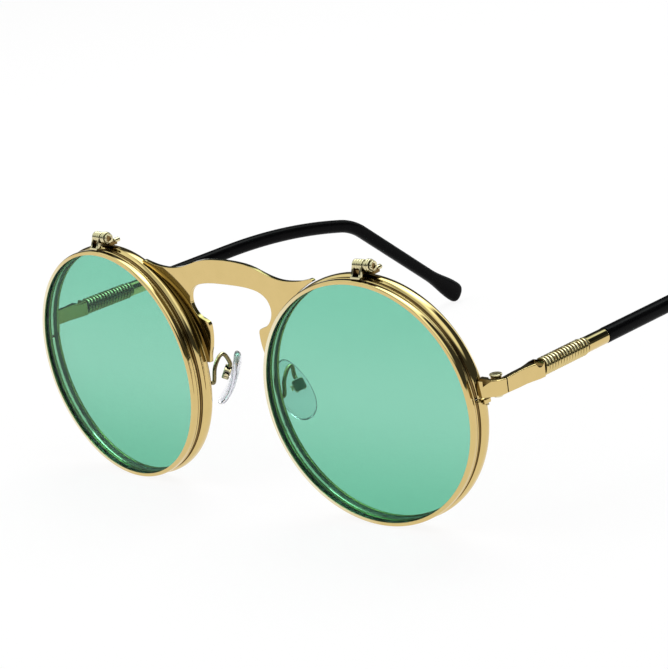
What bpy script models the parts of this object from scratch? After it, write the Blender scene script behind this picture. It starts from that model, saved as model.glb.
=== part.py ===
"""Round flip-up sunglasses, built as an assembly of separate pieces.

The front is modelled upright: +Z up, +X towards the wearer's left, and the front faces -Y.
Each eye has its own frame, turned by the wrap of the front, with its depth along +Y.
At the end the whole assembly leans forward a little, so that it stands on both rims and
both temple tips, with its origin in the middle of its footprint. All lengths are in metres.
"""

import math

import bmesh
import bpy
from mathutils import Matrix, Vector

# The two sides, as the wearer names them
SIDES = (("left", 1), ("right", -1))

# Lenses, which every size of the front follows
lens_radius = 0.02535
lens_thickness = 0.0015
lens_play = 0.00015
lens_lip = 0.00025
ring_segments = 60

# Flip rims, which carry the tinted lenses in front
flip_rim_wall = 0.00065
flip_rim_depth = 0.00235
flip_lens_setback = 0.0005
flip_groove_setback = 0.0015
flip_groove_width = 0.00036
flip_groove_depth = 0.00018

# Rear rims, which carry the clear lenses
rim_gap = 0.0004
rear_rim_wall = 0.0010
rear_rim_depth = 0.00255
rear_lens_setback = 0.00055
rim_edge = 0.00015

# Gap left between pieces that are brazed together, and play of turning pieces
braze_gap = 0.0002
turning_play = 0.00015
cut_overrun = 0.002

# Eyes and the bridge plate between their rear rims
nose_width = 0.0208
wrap_angle = math.radians(4.5)
bridge_thickness = 0.0010
bridge_setback = 0.0026

# Flip hinges on top of the rims
flip_hinge_offset_left = 0.0019
flip_hinge_offset_right = -0.0009
flip_axis_setback = 0.0026
flip_axis_rise = 0.00215
flip_barrel_radius = 0.0011
flip_barrel_width = 0.0024
flip_leg_width = 0.0006
flip_foot_setback = 0.00035
flip_foot_depth = 0.0011
flip_foot_height = 0.00045
flip_bore_radius = 0.0005
flip_ear_width = 0.0011
flip_washer_radius = 0.0010
flip_washer_thickness = 0.0003
flip_peg_radius = 0.00045
flip_peg_length = 0.0006
flip_saddle_depth = 0.0021
flip_saddle_height = 0.0007
flip_screw_radius = 0.0004
flip_screw_head_radius = 0.00085
flip_screw_head_height = 0.00055
screw_slot_width = 0.00025
screw_slot_depth = 0.0002

# Endpieces and temple hinges
hinge_standout = 0.0011
hinge_axis_setback = 0.0086
temple_height = 0.00485
hinge_barrel_radius = 0.0011
hinge_leaf_depth = 0.0010
hinge_leaf_recess = 0.0001
hinge_bore_radius = 0.0005
hinge_screw_radius = 0.0004
hinge_screw_head_radius = 0.0011
hinge_screw_head_height = 0.0004
hinge_outer_barrel_height = 0.00085
hinge_middle_barrel_height = 0.0011
bar_thickness = 0.0014
bar_standoff = 0.0013
seam_gap = 0.0003
endpiece_root_height = 0.0035
endpiece_bend_radius = 0.0026
endpiece_bend_steps = 6
endpiece_root_setback = 0.0013
temple_pitch = math.radians(1.45)

# Rim locks, which close each rear rim round its lens
lock_width = 0.0017
lock_depth = 0.0020
lock_height = 0.0017
lock_slit = 0.0004
lock_screw_radius = 0.0004
lock_bore_radius = 0.0005
lock_screw_head_radius = 0.00075
lock_screw_head_height = 0.0005

# Temple bars, springs and ferrules
bar_length = 0.0108
bar_seam_height = 0.0030
bar_end_height = 0.0037
bar_end_thickness = 0.0032
bar_flare_length = 0.0045
bar_collar_length = 0.0012
bar_notch_radius = 0.0013
bar_notch_rise = 0.0009
core_radius = 0.00085
core_length_in_tip = 0.020
spring_length = 0.0145
spring_wire_radius = 0.000275
spring_coil_radius = 0.0016
spring_turns = 13
spring_points_per_turn = 9
spring_end_gap = 0.0002
ferrule_length = 0.0066
ferrule_radius = 0.0016
ferrule_bore_radius = 0.0010
round_segments = 20

# Temple tips
tip_height = 0.0034
tip_width = 0.0031
tip_end_height = 0.0056
tip_straight_length = 0.0256
tip_arch_length = 0.0405
tip_arch_angle = math.radians(13)
tip_bend_radius = 0.020
tip_bend_angle = math.radians(25)
tip_drop_length = 0.0445
tip_paddle_length = 0.014
tip_end_round_length = 0.0028
tip_bore_radius = 0.0010
tip_sides = 14

# Nose pads
pad_box_inset = 0.00117
pad_box_setback = 0.00827
pad_box_drop = 0.0012
pad_frontal_angle = math.radians(29.6)
pad_lean_angle = math.radians(5.5)
pad_splay_angle = math.radians(37)
pad_length = 0.0138
pad_width = 0.0068
pad_thickness = 0.0015
pad_bulge = 0.0012
pad_offset_forward = 0.0010
pad_offset_down = 0.00045
pad_points = 28
pad_box_length = 0.0026
pad_box_width = 0.0026
pad_box_depth = 0.0016
pad_slot_width = 0.0011
pad_stem_width = 0.0008
pad_stem_length = 0.0014
pad_stem_reach = 0.0012
pad_gap = 0.0003
pad_screw_radius = 0.0003
pad_bore_radius = 0.0004
pad_screw_head_radius = 0.0006
pad_screw_head_height = 0.0004
pad_screw_setback = 0.0008
arm_radius = 0.00045
arm_root_drop = 0.0022
arm_points = 22

# Sizes that follow from the lens
view_radius = lens_radius - lens_lip
flip_rim_radius = lens_radius + flip_rim_wall
rear_rim_radius = lens_radius + rear_rim_wall
eye_spacing = rear_rim_radius * 2 + nose_width
flip_axis_height = rear_rim_radius + flip_axis_rise
hinge_axis_x = eye_spacing / 2 + rear_rim_radius + hinge_standout
pad_box_x = nose_width / 2 + pad_box_inset


def clear_scene():
    for obj in list(bpy.data.objects):
        bpy.data.objects.remove(obj, do_unlink=True)


def make_material(name, colour, roughness, metallic, transmission=0.0):
    material = bpy.data.materials.new(name)
    material.use_nodes = True
    shader = material.node_tree.nodes["Principled BSDF"]
    shader.inputs["Base Color"].default_value = (*colour, 1.0)
    shader.inputs["Roughness"].default_value = roughness
    shader.inputs["Metallic"].default_value = metallic
    shader.inputs["Transmission Weight"].default_value = transmission
    material.diffuse_color = (*colour, 1.0)
    return material


def make_empty(name, parent, location, rotation=(0.0, 0.0, 0.0)):
    empty = bpy.data.objects.new(name, None)
    bpy.context.collection.objects.link(empty)
    empty.parent = parent
    empty.location = location
    empty.rotation_euler = rotation
    return empty


def make_object(name, mesh_builder, parent, material=None, location=(0.0, 0.0, 0.0)):
    """An object whose mesh comes from a bmesh, with its faces turned outwards."""
    bmesh.ops.recalc_face_normals(mesh_builder, faces=mesh_builder.faces)
    mesh = bpy.data.meshes.new(name)
    mesh_builder.to_mesh(mesh)
    mesh_builder.free()
    mesh.shade_smooth()
    mesh.set_sharp_from_angle(angle=math.radians(35))
    obj = bpy.data.objects.new(name, mesh)
    bpy.context.collection.objects.link(obj)
    obj.parent = parent
    obj.location = location
    if material:
        mesh.materials.append(material)
    return obj


def combine(target, helper, operation):
    """Joins a helper to the target, or cuts it out, and keeps the helper as a hidden guide."""
    helper.hide_render = True
    helper.display_type = "WIRE"
    modifier = target.modifiers.new(f"{operation.lower()} {helper.name}", "BOOLEAN")
    modifier.operation = operation
    modifier.solver = "EXACT"
    modifier.object = helper


def close_in_strips(builder, ring):
    """Fills a ring with strips between mirrored points, so that it can curve along its length."""
    count = len(ring)
    quarter, half = count // 4, count // 2
    for i in range(-quarter, quarter):
        corners = (ring[i], ring[i + 1], ring[half - i - 1], ring[(half - i) % count])
        builder.faces.new(dict.fromkeys(corners))


def loft(rings, curved_ends=False):
    """A closed body through rings of points, all with the same number of points."""
    builder = bmesh.new()
    made = [[builder.verts.new(point) for point in ring] for ring in rings]
    count = len(rings[0])
    sides = []
    for near, far in zip(made, made[1:]):
        for i in range(count):
            j = (i + 1) % count
            sides.append(builder.faces.new((near[i], near[j], far[j], far[i])))
    # A Boolean needs flat faces, and the quads of a bent or tapered body aren't flat
    bmesh.ops.triangulate(builder, faces=sides)
    for ring in (made[0], made[-1]):
        if curved_ends:
            close_in_strips(builder, ring)
        else:
            builder.faces.new(ring)
    return builder


def revolve(profile, segments):
    """A closed ring from (radius, depth) points, turned about the Y axis."""
    builder = bmesh.new()
    rings = []
    for i in range(segments):
        angle = math.tau * i / segments
        rings.append([
            builder.verts.new((radius * math.cos(angle), depth, radius * math.sin(angle)))
            for radius, depth in profile
        ])
    count = len(profile)
    for i in range(segments):
        near, far = rings[i], rings[(i + 1) % segments]
        for a in range(count):
            b = (a + 1) % count
            builder.faces.new((near[a], near[b], far[b], far[a]))
    return builder


def cylinder(radius, start, end, axis, segments=round_segments):
    """A cylinder between two places along an axis, given as a letter."""
    rings = []
    for along in (start, end):
        ring = []
        for i in range(segments):
            angle = math.tau * (i + 0.5) / segments
            a, b = radius * math.cos(angle), radius * math.sin(angle)
            ring.append({"X": (along, a, b), "Y": (a, along, b), "Z": (a, b, along)}[axis])
        rings.append(ring)
    return loft(rings)


def block(low, high):
    corners = [(low[0], low[1]), (high[0], low[1]), (high[0], high[1]), (low[0], high[1])]
    return loft([[(x, y, z) for x, y in corners] for z in (low[2], high[2])])


def side_plate(outline, start, end):
    """An outline in the YZ plane, made into a plate between two places along X."""
    return loft([[(x, y, z) for y, z in outline] for x in (start, end)])


def slotted_screw(name, parts, axis, side, parent, material, head_start, head_height, head_radius):
    """A screw from its shank, with a head at one end and a slot across the head."""
    shank_radius, shank_start, shank_end = parts
    head_end = head_start + side * head_height
    screw = make_object(name, cylinder(shank_radius, shank_start, shank_end, axis), parent, material)
    head = make_object(
        f"{name}_head", cylinder(head_radius, head_start, head_end, axis), parent
    )
    combine(screw, head, "UNION")
    half_width = screw_slot_width / 2
    reach = head_radius + cut_overrun
    bottom, top = sorted((head_end - side * screw_slot_depth, head_end + side * cut_overrun))
    spans = {"X": [(bottom, top), (-reach, reach), (-half_width, half_width)],
             "Y": [(-reach, reach), (bottom, top), (-half_width, half_width)],
             "Z": [(-reach, reach), (-half_width, half_width), (bottom, top)]}[axis]
    low, high = zip(*spans)
    combine(screw, make_object(f"{name}_slot", block(low, high), parent), "DIFFERENCE")
    return screw


def rim_profile(radius, inner_radius, front, depth, lens_setback, groove=None):
    """Cross-section of a rim as (radius, depth) points, with the seat for its lens inside."""
    back = front + depth
    seat_radius = lens_radius + lens_play
    seat_front = front + lens_setback - lens_play
    seat_back = front + lens_setback + lens_thickness + lens_play
    profile = [(radius - rim_edge, front), (radius, front + rim_edge)]
    if groove:
        setback, width, cut = groove
        profile += [
            (radius, front + setback - width / 2),
            (radius - cut, front + setback),
            (radius, front + setback + width / 2),
        ]
    profile += [
        (radius, back - rim_edge),
        (radius - rim_edge, back),
        (inner_radius, back),
        (inner_radius, seat_back),
        (seat_radius, seat_back),
        (seat_radius, seat_front),
        (inner_radius, seat_front),
        (inner_radius, front),
    ]
    return profile


def make_flip_rim(name, eye):
    groove = (flip_groove_setback, flip_groove_width, flip_groove_depth)
    profile = rim_profile(
        flip_rim_radius, view_radius, 0.0, flip_rim_depth, flip_lens_setback, groove
    )
    return make_object(name, revolve(profile, ring_segments), eye, gold)


def make_rear_rim(name, eye, side):
    """A rear rim, open at the lock on its outer side."""
    profile = rim_profile(
        rear_rim_radius, view_radius, rear_rim_front, rear_rim_depth, rear_lens_setback
    )
    rim = make_object(name, revolve(profile, ring_segments), eye, gold)
    low = (side * view_radius - cut_overrun, rear_rim_front - cut_overrun, lock_top)
    high = (side * rear_rim_radius + cut_overrun, rear_rim_back + cut_overrun, lock_top + lock_slit)
    combine(rim, make_object(f"{name}_slit", block(low, high), eye), "DIFFERENCE")
    return rim


def make_lens(name, eye, front, material):
    return make_object(
        name, cylinder(lens_radius, front, front + lens_thickness, "Y", ring_segments), eye, material
    )


# Outline of half the bridge plate from its middle, as shares of half the eye spacing and of
# the rear rim's radius: along the top to the tip of the wing, back inside the rim, where the
# rim cuts it off, to the foot of the leg, and up round the nose opening.
bridge_outline_shares = (
    (0.000, 0.995), (0.090, 0.990), (0.170, 0.978), (0.235, 0.957), (0.295, 0.928),
    (0.355, 0.903), (0.420, 0.886), (0.490, 0.883), (0.570, 0.894), (0.635, 0.915),
    (0.660, 0.924), (0.677, 0.914), (0.674, 0.889), (0.780, 0.720), (0.620, 0.340),
    (0.560, 0.110), (0.246, 0.110), (0.236, 0.170), (0.216, 0.250), (0.203, 0.330),
    (0.199, 0.400), (0.204, 0.447), (0.230, 0.470), (0.272, 0.496), (0.304, 0.545),
    (0.320, 0.605), (0.317, 0.665), (0.296, 0.718), (0.252, 0.760), (0.190, 0.783),
    (0.110, 0.794), (0.000, 0.797),
)


def make_bridge(parent, eyes):
    half_spacing = eye_spacing / 2
    half = [(half_spacing * x, rear_rim_radius * z) for x, z in bridge_outline_shares]
    mirrored = [(-x, z) for x, z in reversed(half[1:-1])]
    outline = half + mirrored
    rings = [
        [(x, y, z) for x, z in outline]
        for y in (bridge_setback, bridge_setback + bridge_thickness)
    ]
    bridge = make_object("bridge", loft(rings), parent, gold)
    for (word, _), eye in zip(SIDES, eyes):
        reach = rear_rim_back + cut_overrun
        cutter = cylinder(rear_rim_radius + braze_gap, -reach, reach, "Y", ring_segments * 2)
        combine(bridge, make_object(f"bridge_cut_{word}", cutter, eye), "DIFFERENCE")
    return bridge


def make_flip_bracket(name, axis):
    """The stirrup on the flip rim: a foot, two legs and the barrel that they carry."""
    half = flip_barrel_width / 2
    foot_front = flip_foot_setback - flip_axis_setback
    foot_back = foot_front + flip_foot_depth
    foot_low = flip_rim_radius + braze_gap - flip_axis_height
    foot_top = foot_low + flip_foot_height
    barrel = cylinder(flip_barrel_radius, -half, half, "X")
    bracket = make_object(name, barrel, axis, gold)
    foot = block((-half, foot_front, foot_low), (half, foot_back, foot_top))
    combine(bracket, make_object(f"{name}_foot", foot, axis), "UNION")
    leg = [
        (foot_front, foot_low),
        (foot_back, foot_low),
        (flip_barrel_radius * 0.5, -flip_barrel_radius * 0.7),
        (-flip_barrel_radius * 0.85, flip_barrel_radius * 0.35),
    ]
    for i, start in enumerate((-half, half - flip_leg_width)):
        plate = side_plate(leg, start, start + flip_leg_width)
        combine(bracket, make_object(f"{name}_leg_{i}", plate, axis), "UNION")
    bore = cylinder(flip_bore_radius, -half - cut_overrun, half + cut_overrun, "X")
    combine(bracket, make_object(f"{name}_bore", bore, axis), "DIFFERENCE")
    return bracket


def flip_stack():
    """Where the washer, the ear and the screw head of a flip hinge start, along its axis."""
    washer = flip_barrel_width / 2 + turning_play
    ear = washer + flip_washer_thickness + turning_play
    head = ear + flip_ear_width + turning_play
    return washer, ear, head


def make_flip_saddle(name, axis):
    """The rear half of a flip hinge: a saddle on the rear rim with an ear and a stop peg."""
    _, inner, _ = flip_stack()
    outer = inner + flip_ear_width
    front = rear_rim_front + rim_edge - flip_axis_setback
    back = front + flip_saddle_depth
    low = rear_rim_radius + braze_gap - flip_axis_height
    top = low + flip_saddle_height
    half = flip_barrel_width / 2
    saddle = make_object(name, block((-half, front, low), (outer, back, top)), axis, gold)
    ear = [
        (front, low),
        (back, low),
        (back, top),
        (flip_barrel_radius * 0.9, flip_barrel_radius * 0.4),
        (-flip_barrel_radius * 0.3, -flip_barrel_radius * 0.85),
    ]
    plate = side_plate(ear, inner, outer)
    combine(saddle, make_object(f"{name}_ear", plate, axis), "UNION")
    knuckle = cylinder(flip_barrel_radius, inner, outer, "X")
    combine(saddle, make_object(f"{name}_knuckle", knuckle, axis), "UNION")
    peg = cylinder(flip_peg_radius, back - flip_peg_length, back + flip_peg_length, "Y")
    place = (outer - flip_peg_radius, 0.0, top - flip_peg_radius / 2)
    combine(saddle, make_object(f"{name}_peg", peg, axis, location=place), "UNION")
    bore = cylinder(flip_bore_radius, inner - cut_overrun, outer + cut_overrun, "X")
    combine(saddle, make_object(f"{name}_bore", bore, axis), "DIFFERENCE")
    return saddle


def make_flip_washer(name, axis):
    start, _, _ = flip_stack()
    end = start + flip_washer_thickness
    profile = [
        (flip_bore_radius, start),
        (flip_washer_radius, start),
        (flip_washer_radius, end),
        (flip_bore_radius, end),
    ]
    builder = revolve(profile, round_segments)
    bmesh.ops.rotate(builder, matrix=Matrix.Rotation(-math.pi / 2, 3, "Z"), verts=builder.verts)
    return make_object(name, builder, axis, steel)


def make_flip_screw(name, axis):
    _, _, head_start = flip_stack()
    shank = (flip_screw_radius, -flip_barrel_width / 2, head_start + screw_slot_depth)
    return slotted_screw(
        name, shank, "X", 1, axis, steel,
        head_start, flip_screw_head_height, flip_screw_head_radius,
    )


def rectangle(centre, direction, half_thickness, half_height):
    """The corners of an upright section whose plate runs along a direction in plan."""
    across = Vector((direction[1], -direction[0])) * half_thickness
    x, y = centre
    return [
        (x + across.x, y + across.y, -half_height),
        (x - across.x, y - across.y, -half_height),
        (x - across.x, y - across.y, half_height),
        (x + across.x, y + across.y, half_height),
    ]


def barrel_spans():
    """The heights of the lower, middle and upper barrel of a temple hinge."""
    middle = hinge_middle_barrel_height / 2
    inner = middle + turning_play
    outer = inner + hinge_outer_barrel_height
    return (-outer, -inner), (-middle, middle), (inner, outer)


def add_barrel(target, name, axis, side, span, leaf_start, leaf_end):
    """A hinge barrel with the leaf that ties it to its plate."""
    barrel = cylinder(hinge_barrel_radius, span[0], span[1], "Z")
    combine(target, make_object(f"{name}_barrel", barrel, axis), "UNION")
    low_x, high_x = sorted((0.0, side * (bar_standoff + bar_thickness / 2)))
    low_y, high_y = sorted((leaf_start, leaf_end))
    leaf = block((low_x, low_y, span[0]), (high_x, high_y, span[1]))
    combine(target, make_object(f"{name}_leaf", leaf, axis), "UNION")


def make_endpiece(name, axis, side, eye_centre):
    """The bent plate from the rear rim to the temple, with the two outer hinge barrels."""
    plate_x = side * (bar_standoff + bar_thickness / 2)
    end_y = -seam_gap / 2
    bend_x = plate_x - side * endpiece_bend_radius
    sections = []
    root_x = side * (eye_centre + rear_rim_radius - cut_overrun - hinge_axis_x)
    root_y = end_y - endpiece_bend_radius
    along_x = (side, 0.0)
    sections.append(
        rectangle((root_x, root_y), along_x, endpiece_root_setback, endpiece_root_height / 2)
    )
    for i in range(endpiece_bend_steps + 1):
        share = i / endpiece_bend_steps
        angle = share * math.pi / 2
        centre = (
            bend_x + side * endpiece_bend_radius * math.sin(angle),
            end_y - endpiece_bend_radius * math.cos(angle),
        )
        direction = (side * math.cos(angle), math.sin(angle))
        height = endpiece_root_height + (bar_seam_height - endpiece_root_height) * share
        sections.append(rectangle(centre, direction, bar_thickness / 2, height / 2))
    endpiece = make_object(name, loft(sections), axis, gold)
    lower, _, upper = barrel_spans()
    leaf_start = end_y - hinge_leaf_recess
    for word, span in (("lower", lower), ("upper", upper)):
        leaf_end = leaf_start - hinge_leaf_depth
        add_barrel(endpiece, f"{name}_{word}", axis, side, span, leaf_start, leaf_end)
    low = lower[0] - cut_overrun
    bore = cylinder(hinge_bore_radius, low, upper[1] + cut_overrun, "Z")
    combine(endpiece, make_object(f"{name}_bore", bore, axis), "DIFFERENCE")
    return endpiece


def make_hinge_screw(name, axis):
    lower, _, upper = barrel_spans()
    head_start = upper[1] + turning_play
    return slotted_screw(
        name,
        (hinge_screw_radius, lower[0], head_start + screw_slot_depth),
        "Z", 1, axis, steel, head_start, hinge_screw_head_height, hinge_screw_head_radius,
    )


def make_lock(name, eye, side):
    """The closing block under the endpiece and the screw that draws the rim shut."""
    inner = side * (rear_rim_radius + braze_gap)
    outer = inner + side * lock_width
    low_x, high_x = sorted((inner, outer))
    front = rear_rim_front + (rear_rim_depth - lock_depth) / 2
    bottom = lock_top - lock_height
    lock = make_object(
        name, block((low_x, front, bottom), (high_x, front + lock_depth, lock_top)), eye, gold
    )
    centre = ((inner + outer) / 2, front + lock_depth / 2, 0.0)
    bore = cylinder(lock_bore_radius, bottom - cut_overrun, lock_top + cut_overrun, "Z")
    combine(lock, make_object(f"{name}_bore", bore, eye, location=centre), "DIFFERENCE")
    head_start = bottom - turning_play
    place = make_empty(f"{name}_screw_place", eye, centre)
    slotted_screw(
        name.replace("lock", "lock_screw"),
        (lock_screw_radius, lock_top, head_start - screw_slot_depth),
        "Z", -1, place, steel, head_start, lock_screw_head_height, lock_screw_head_radius,
    )
    return lock


def make_temple_bar(name, axis, side):
    """The flat bar behind the hinge, which carries the middle barrel and the core wire."""
    plate_x = side * (bar_standoff + bar_thickness / 2)
    start = seam_gap / 2
    flare_start = bar_length - bar_collar_length - bar_flare_length
    flare_end = bar_length - bar_collar_length
    middle_height = bar_seam_height + (bar_end_height - bar_seam_height) * flare_start / bar_length
    stations = (
        (start, bar_thickness, bar_seam_height),
        (flare_start, bar_thickness, middle_height),
        (flare_end, bar_end_thickness, bar_end_height),
        (bar_length, bar_end_thickness, bar_end_height),
    )
    sections = [
        rectangle((plate_x, y), (0.0, 1.0), thickness / 2, height / 2)
        for y, thickness, height in stations
    ]
    bar = make_object(name, loft(sections), axis, gold)
    reach = bar_end_thickness
    notch = cylinder(bar_notch_radius, plate_x - reach, plate_x + reach, "X")
    place = (0.0, bar_length, bar_notch_rise)
    combine(bar, make_object(f"{name}_notch", notch, axis, location=place), "DIFFERENCE")
    core_end = tip_start + core_length_in_tip
    core = cylinder(core_radius, flare_end, core_end, "Y", tip_sides)
    place = (plate_x, 0.0, 0.0)
    combine(bar, make_object(f"{name}_core", core, axis, location=place), "UNION")
    _, middle, _ = barrel_spans()
    leaf_start = start + hinge_leaf_recess
    add_barrel(bar, name, axis, side, middle, leaf_start, leaf_start + hinge_leaf_depth)
    bore = cylinder(hinge_bore_radius, middle[0] - cut_overrun, middle[1] + cut_overrun, "Z")
    combine(bar, make_object(f"{name}_bore", bore, axis), "DIFFERENCE")
    return bar


def spring_path():
    """The middle line of a temple spring: a straight end, the turns, and a straight end."""
    run = spring_wire_radius * 2
    start = bar_length + spring_end_gap
    end = bar_length + spring_length - spring_end_gap
    first = start + run
    rise = end - run - first
    steps = spring_turns * spring_points_per_turn
    points = [Vector((0.0, start, -spring_coil_radius))]
    for i in range(steps + 1):
        angle = math.tau * i / spring_points_per_turn - math.pi / 2
        x, z = spring_coil_radius * math.cos(angle), spring_coil_radius * math.sin(angle)
        points.append(Vector((x, first + rise * i / steps, z)))
    points.append(Vector((0.0, end, -spring_coil_radius)))
    return points


def least_gap(points, radius, neighbours):
    """The least gap of a tube to itself, between points further apart along it than a few."""
    distance = min(
        (a - b).length
        for i, a in enumerate(points)
        for b in points[i + neighbours:]
    )
    return distance - 2 * radius


def make_tube(name, points, radius, parent, material, resolution, location=(0.0, 0.0, 0.0)):
    curve = bpy.data.curves.new(name, "CURVE")
    curve.dimensions = "3D"
    curve.bevel_depth = radius
    curve.bevel_resolution = resolution
    curve.use_fill_caps = True
    spline = curve.splines.new("POLY")
    spline.points.add(len(points) - 1)
    for place, point in zip(spline.points, points):
        place.co = (*point, 1.0)
    obj = bpy.data.objects.new(name, curve)
    bpy.context.collection.objects.link(obj)
    obj.parent = parent
    obj.location = location
    curve.materials.append(material)
    return obj


def make_ferrule(name, axis, side):
    plate_x = side * (bar_standoff + bar_thickness / 2)
    start = bar_length + spring_length
    end = start + ferrule_length
    profile = [
        (ferrule_bore_radius, start),
        (ferrule_radius - rim_edge, start),
        (ferrule_radius, start + rim_edge),
        (ferrule_radius, end - rim_edge),
        (ferrule_radius - rim_edge, end),
        (ferrule_bore_radius, end),
    ]
    return make_object(
        name, revolve(profile, round_segments), axis, gold, location=(plate_x, 0.0, 0.0)
    )


def tip_path():
    """Stations along a temple tip as (place, angle below level, distance from the start)."""
    place = Vector((0.0, tip_start, 0.0))
    angle = 0.0
    travelled = 0.0
    stations = [(place.copy(), angle, travelled)]
    stretches = (
        (tip_straight_length, 0.0, 1),
        (tip_arch_length, tip_arch_angle, 6),
        (tip_bend_radius * tip_bend_angle, tip_bend_angle, 4),
        (tip_drop_length - tip_paddle_length, 0.0, 1),
        (tip_paddle_length - tip_end_round_length, 0.0, 4),
        (tip_end_round_length, 0.0, 4),
    )
    for length, turn, steps in stretches:
        for _ in range(steps):
            step = length / steps
            angle += turn / steps / 2
            place = place + Vector((0.0, math.cos(angle), -math.sin(angle))) * step
            angle += turn / steps / 2
            travelled += step
            stations.append((place.copy(), angle, travelled))
    return stations


def tip_half_sizes(travelled, total):
    """Half the width and height of a temple tip at a distance along it."""
    paddle_start = total - tip_paddle_length
    share = max(0.0, (travelled - paddle_start) / (tip_paddle_length - tip_end_round_length))
    share = min(1.0, share)
    swell = share * share * (3 - 2 * share)
    height = tip_height + (tip_end_height - tip_height) * swell
    into_end = max(0.0, travelled - (total - tip_end_round_length)) / tip_end_round_length
    rounding = math.sqrt(max(0.0, 1 - (into_end * tip_end_round_share) ** 2))
    return tip_width / 2 * rounding, height / 2 * rounding


# How far round its quarter circle the rounded end goes before its small flat end
tip_end_round_share = 0.97


def make_tip(name, axis, side):
    stations = tip_path()
    total = stations[-1][2]
    rings = []
    for place, angle, travelled in stations:
        half_width, half_height = tip_half_sizes(travelled, total)
        upward = Vector((0.0, math.sin(angle), math.cos(angle)))
        ring = []
        for i in range(tip_sides):
            turn = math.tau * (i + 0.5) / tip_sides
            offset = Vector((half_width * math.cos(turn), 0.0, 0.0))
            ring.append(place + offset + upward * half_height * math.sin(turn))
        rings.append(ring)
    plate_x = side * (bar_standoff + bar_thickness / 2)
    tip = make_object(name, loft(rings), axis, black, location=(plate_x, 0.0, 0.0))
    depth = core_length_in_tip + braze_gap
    bore = cylinder(tip_bore_radius, tip_start - cut_overrun, tip_start + depth, "Y", tip_sides)
    place = (plate_x, 0.0, 0.0)
    combine(tip, make_object(f"{name}_bore", bore, axis, location=place), "DIFFERENCE")
    return tip


def make_pad_box(name, axis):
    """The metal box behind a nose pad, with a slot for the pad's stem."""
    half_length, half_width = pad_box_length / 2, pad_box_width / 2
    box = make_object(
        name,
        block((0.0, -half_width, -half_length), (pad_box_depth, half_width, half_length)),
        axis, gold,
    )
    half_slot = pad_slot_width / 2
    reach = pad_box_depth + cut_overrun
    bottom = pad_box_depth - pad_stem_reach - pad_gap
    slot = block((bottom, -half_slot, -reach), (reach, half_slot, reach))
    combine(box, make_object(f"{name}_slot", slot, axis), "DIFFERENCE")
    bore = cylinder(pad_bore_radius, -reach, reach, "Y", pad_bore_sides)
    place = (pad_screw_place, 0.0, 0.0)
    combine(box, make_object(f"{name}_bore", bore, axis, location=place), "DIFFERENCE")
    return box


# Number of sides of the small holes and screws at the nose pads
pad_bore_sides = 12


def make_pad(name, pivot, side):
    """A clear oval pad, hollow behind, with a stem that enters its box."""
    face = pad_box_depth - pad_screw_place + pad_gap
    shift = side * pad_offset_forward
    rings = []
    for depth_share, size_share in pad_edge_shares:
        ring = []
        for i in range(pad_points):
            angle = math.tau * i / pad_points
            taper = 1 - pad_taper_share * math.sin(angle)
            y = pad_width / 2 * math.cos(angle) * size_share * taper
            inset = (1 - size_share) * pad_width / 2
            z = (pad_length / 2 - inset) * math.sin(angle)
            bend = pad_bulge * (z / (pad_length / 2)) ** 2
            x = face + pad_thickness * depth_share - bend
            ring.append((x, y + shift, z - pad_offset_down))
        rings.append(ring)
    pad = make_object(name, loft(rings, curved_ends=True), pivot, silicone)
    half_stem, half_length = pad_stem_width / 2, pad_stem_length / 2
    start = pad_box_depth - pad_stem_reach - pad_screw_place
    stem = block((start, -half_stem, -half_length), (face + pad_thickness / 2, half_stem, half_length))
    combine(pad, make_object(f"{name}_stem", stem, pivot), "UNION")
    bore = cylinder(pad_bore_radius, -pad_box_width, pad_box_width, "Y", pad_bore_sides)
    combine(pad, make_object(f"{name}_bore", bore, pivot), "DIFFERENCE")
    return pad


# How much narrower the pad is at its top than at its middle, and its rounded edge as shares
# of its thickness and of its size
pad_taper_share = 0.18
pad_edge_shares = ((0.0, 0.80), (0.22, 0.95), (0.5, 1.0), (0.78, 0.95), (1.0, 0.78))


def make_pad_screw(name, pivot, side):
    half = pad_box_width / 2
    head_start = side * (half + turning_play)
    shank = (pad_screw_radius, -side * half, head_start + side * screw_slot_depth / 2)
    return slotted_screw(
        name, shank, "Y", side, pivot, steel,
        head_start, pad_screw_head_height, pad_screw_head_radius,
    )


def smooth_route(places, count):
    """Points at even steps of parameter on a smooth curve through a few places."""
    extended = [places[0] * 2 - places[1], *places, places[-1] * 2 - places[-2]]
    spans = len(places) - 1
    points = []
    for i in range(count):
        at = spans * i / (count - 1)
        index = min(int(at), spans - 1)
        t = at - index
        a, b, c, d = extended[index:index + 4]
        points.append(
            (b * 2 + (c - a) * t + (a * 2 - b * 5 + c * 4 - d) * t ** 2
             + (b * 3 - a - c * 3 + d) * t ** 3) / 2
        )
    return points


# Places of the pad's arm between its ends, as shares of the way from end to end and of the
# pad's length upwards
arm_route_shares = ((0.30, 0.162), (0.62, 0.270), (0.88, 0.226))


def make_pad_arm(name, parent, side, eye_matrix, box_matrix):
    """The wire from the back of the rear rim, up and over, down to the top of the pad's box."""
    middle_radius = (rear_rim_radius + view_radius) / 2
    root = eye_matrix @ Vector((
        -side * math.sqrt(middle_radius ** 2 - arm_root_drop ** 2),
        rear_rim_back + braze_gap,
        -arm_root_drop,
    ))
    backward = Vector((0.0, arm_radius * 2, 0.0))
    top = (pad_box_depth / 2, 0.0, pad_box_length / 2 + braze_gap)
    end = box_matrix @ Vector(top)
    leave = box_matrix.to_3x3() @ Vector((0.0, 0.0, arm_radius * 2))
    span = end - root
    rise = Vector((0.0, 0.0, pad_length))
    between = [root + span * along + rise * up for along, up in arm_route_shares]
    places = [root, root + backward, *between, end + leave, end]
    return make_tube(name, smooth_route(places, arm_points), arm_radius, parent, gold, 1)


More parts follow.
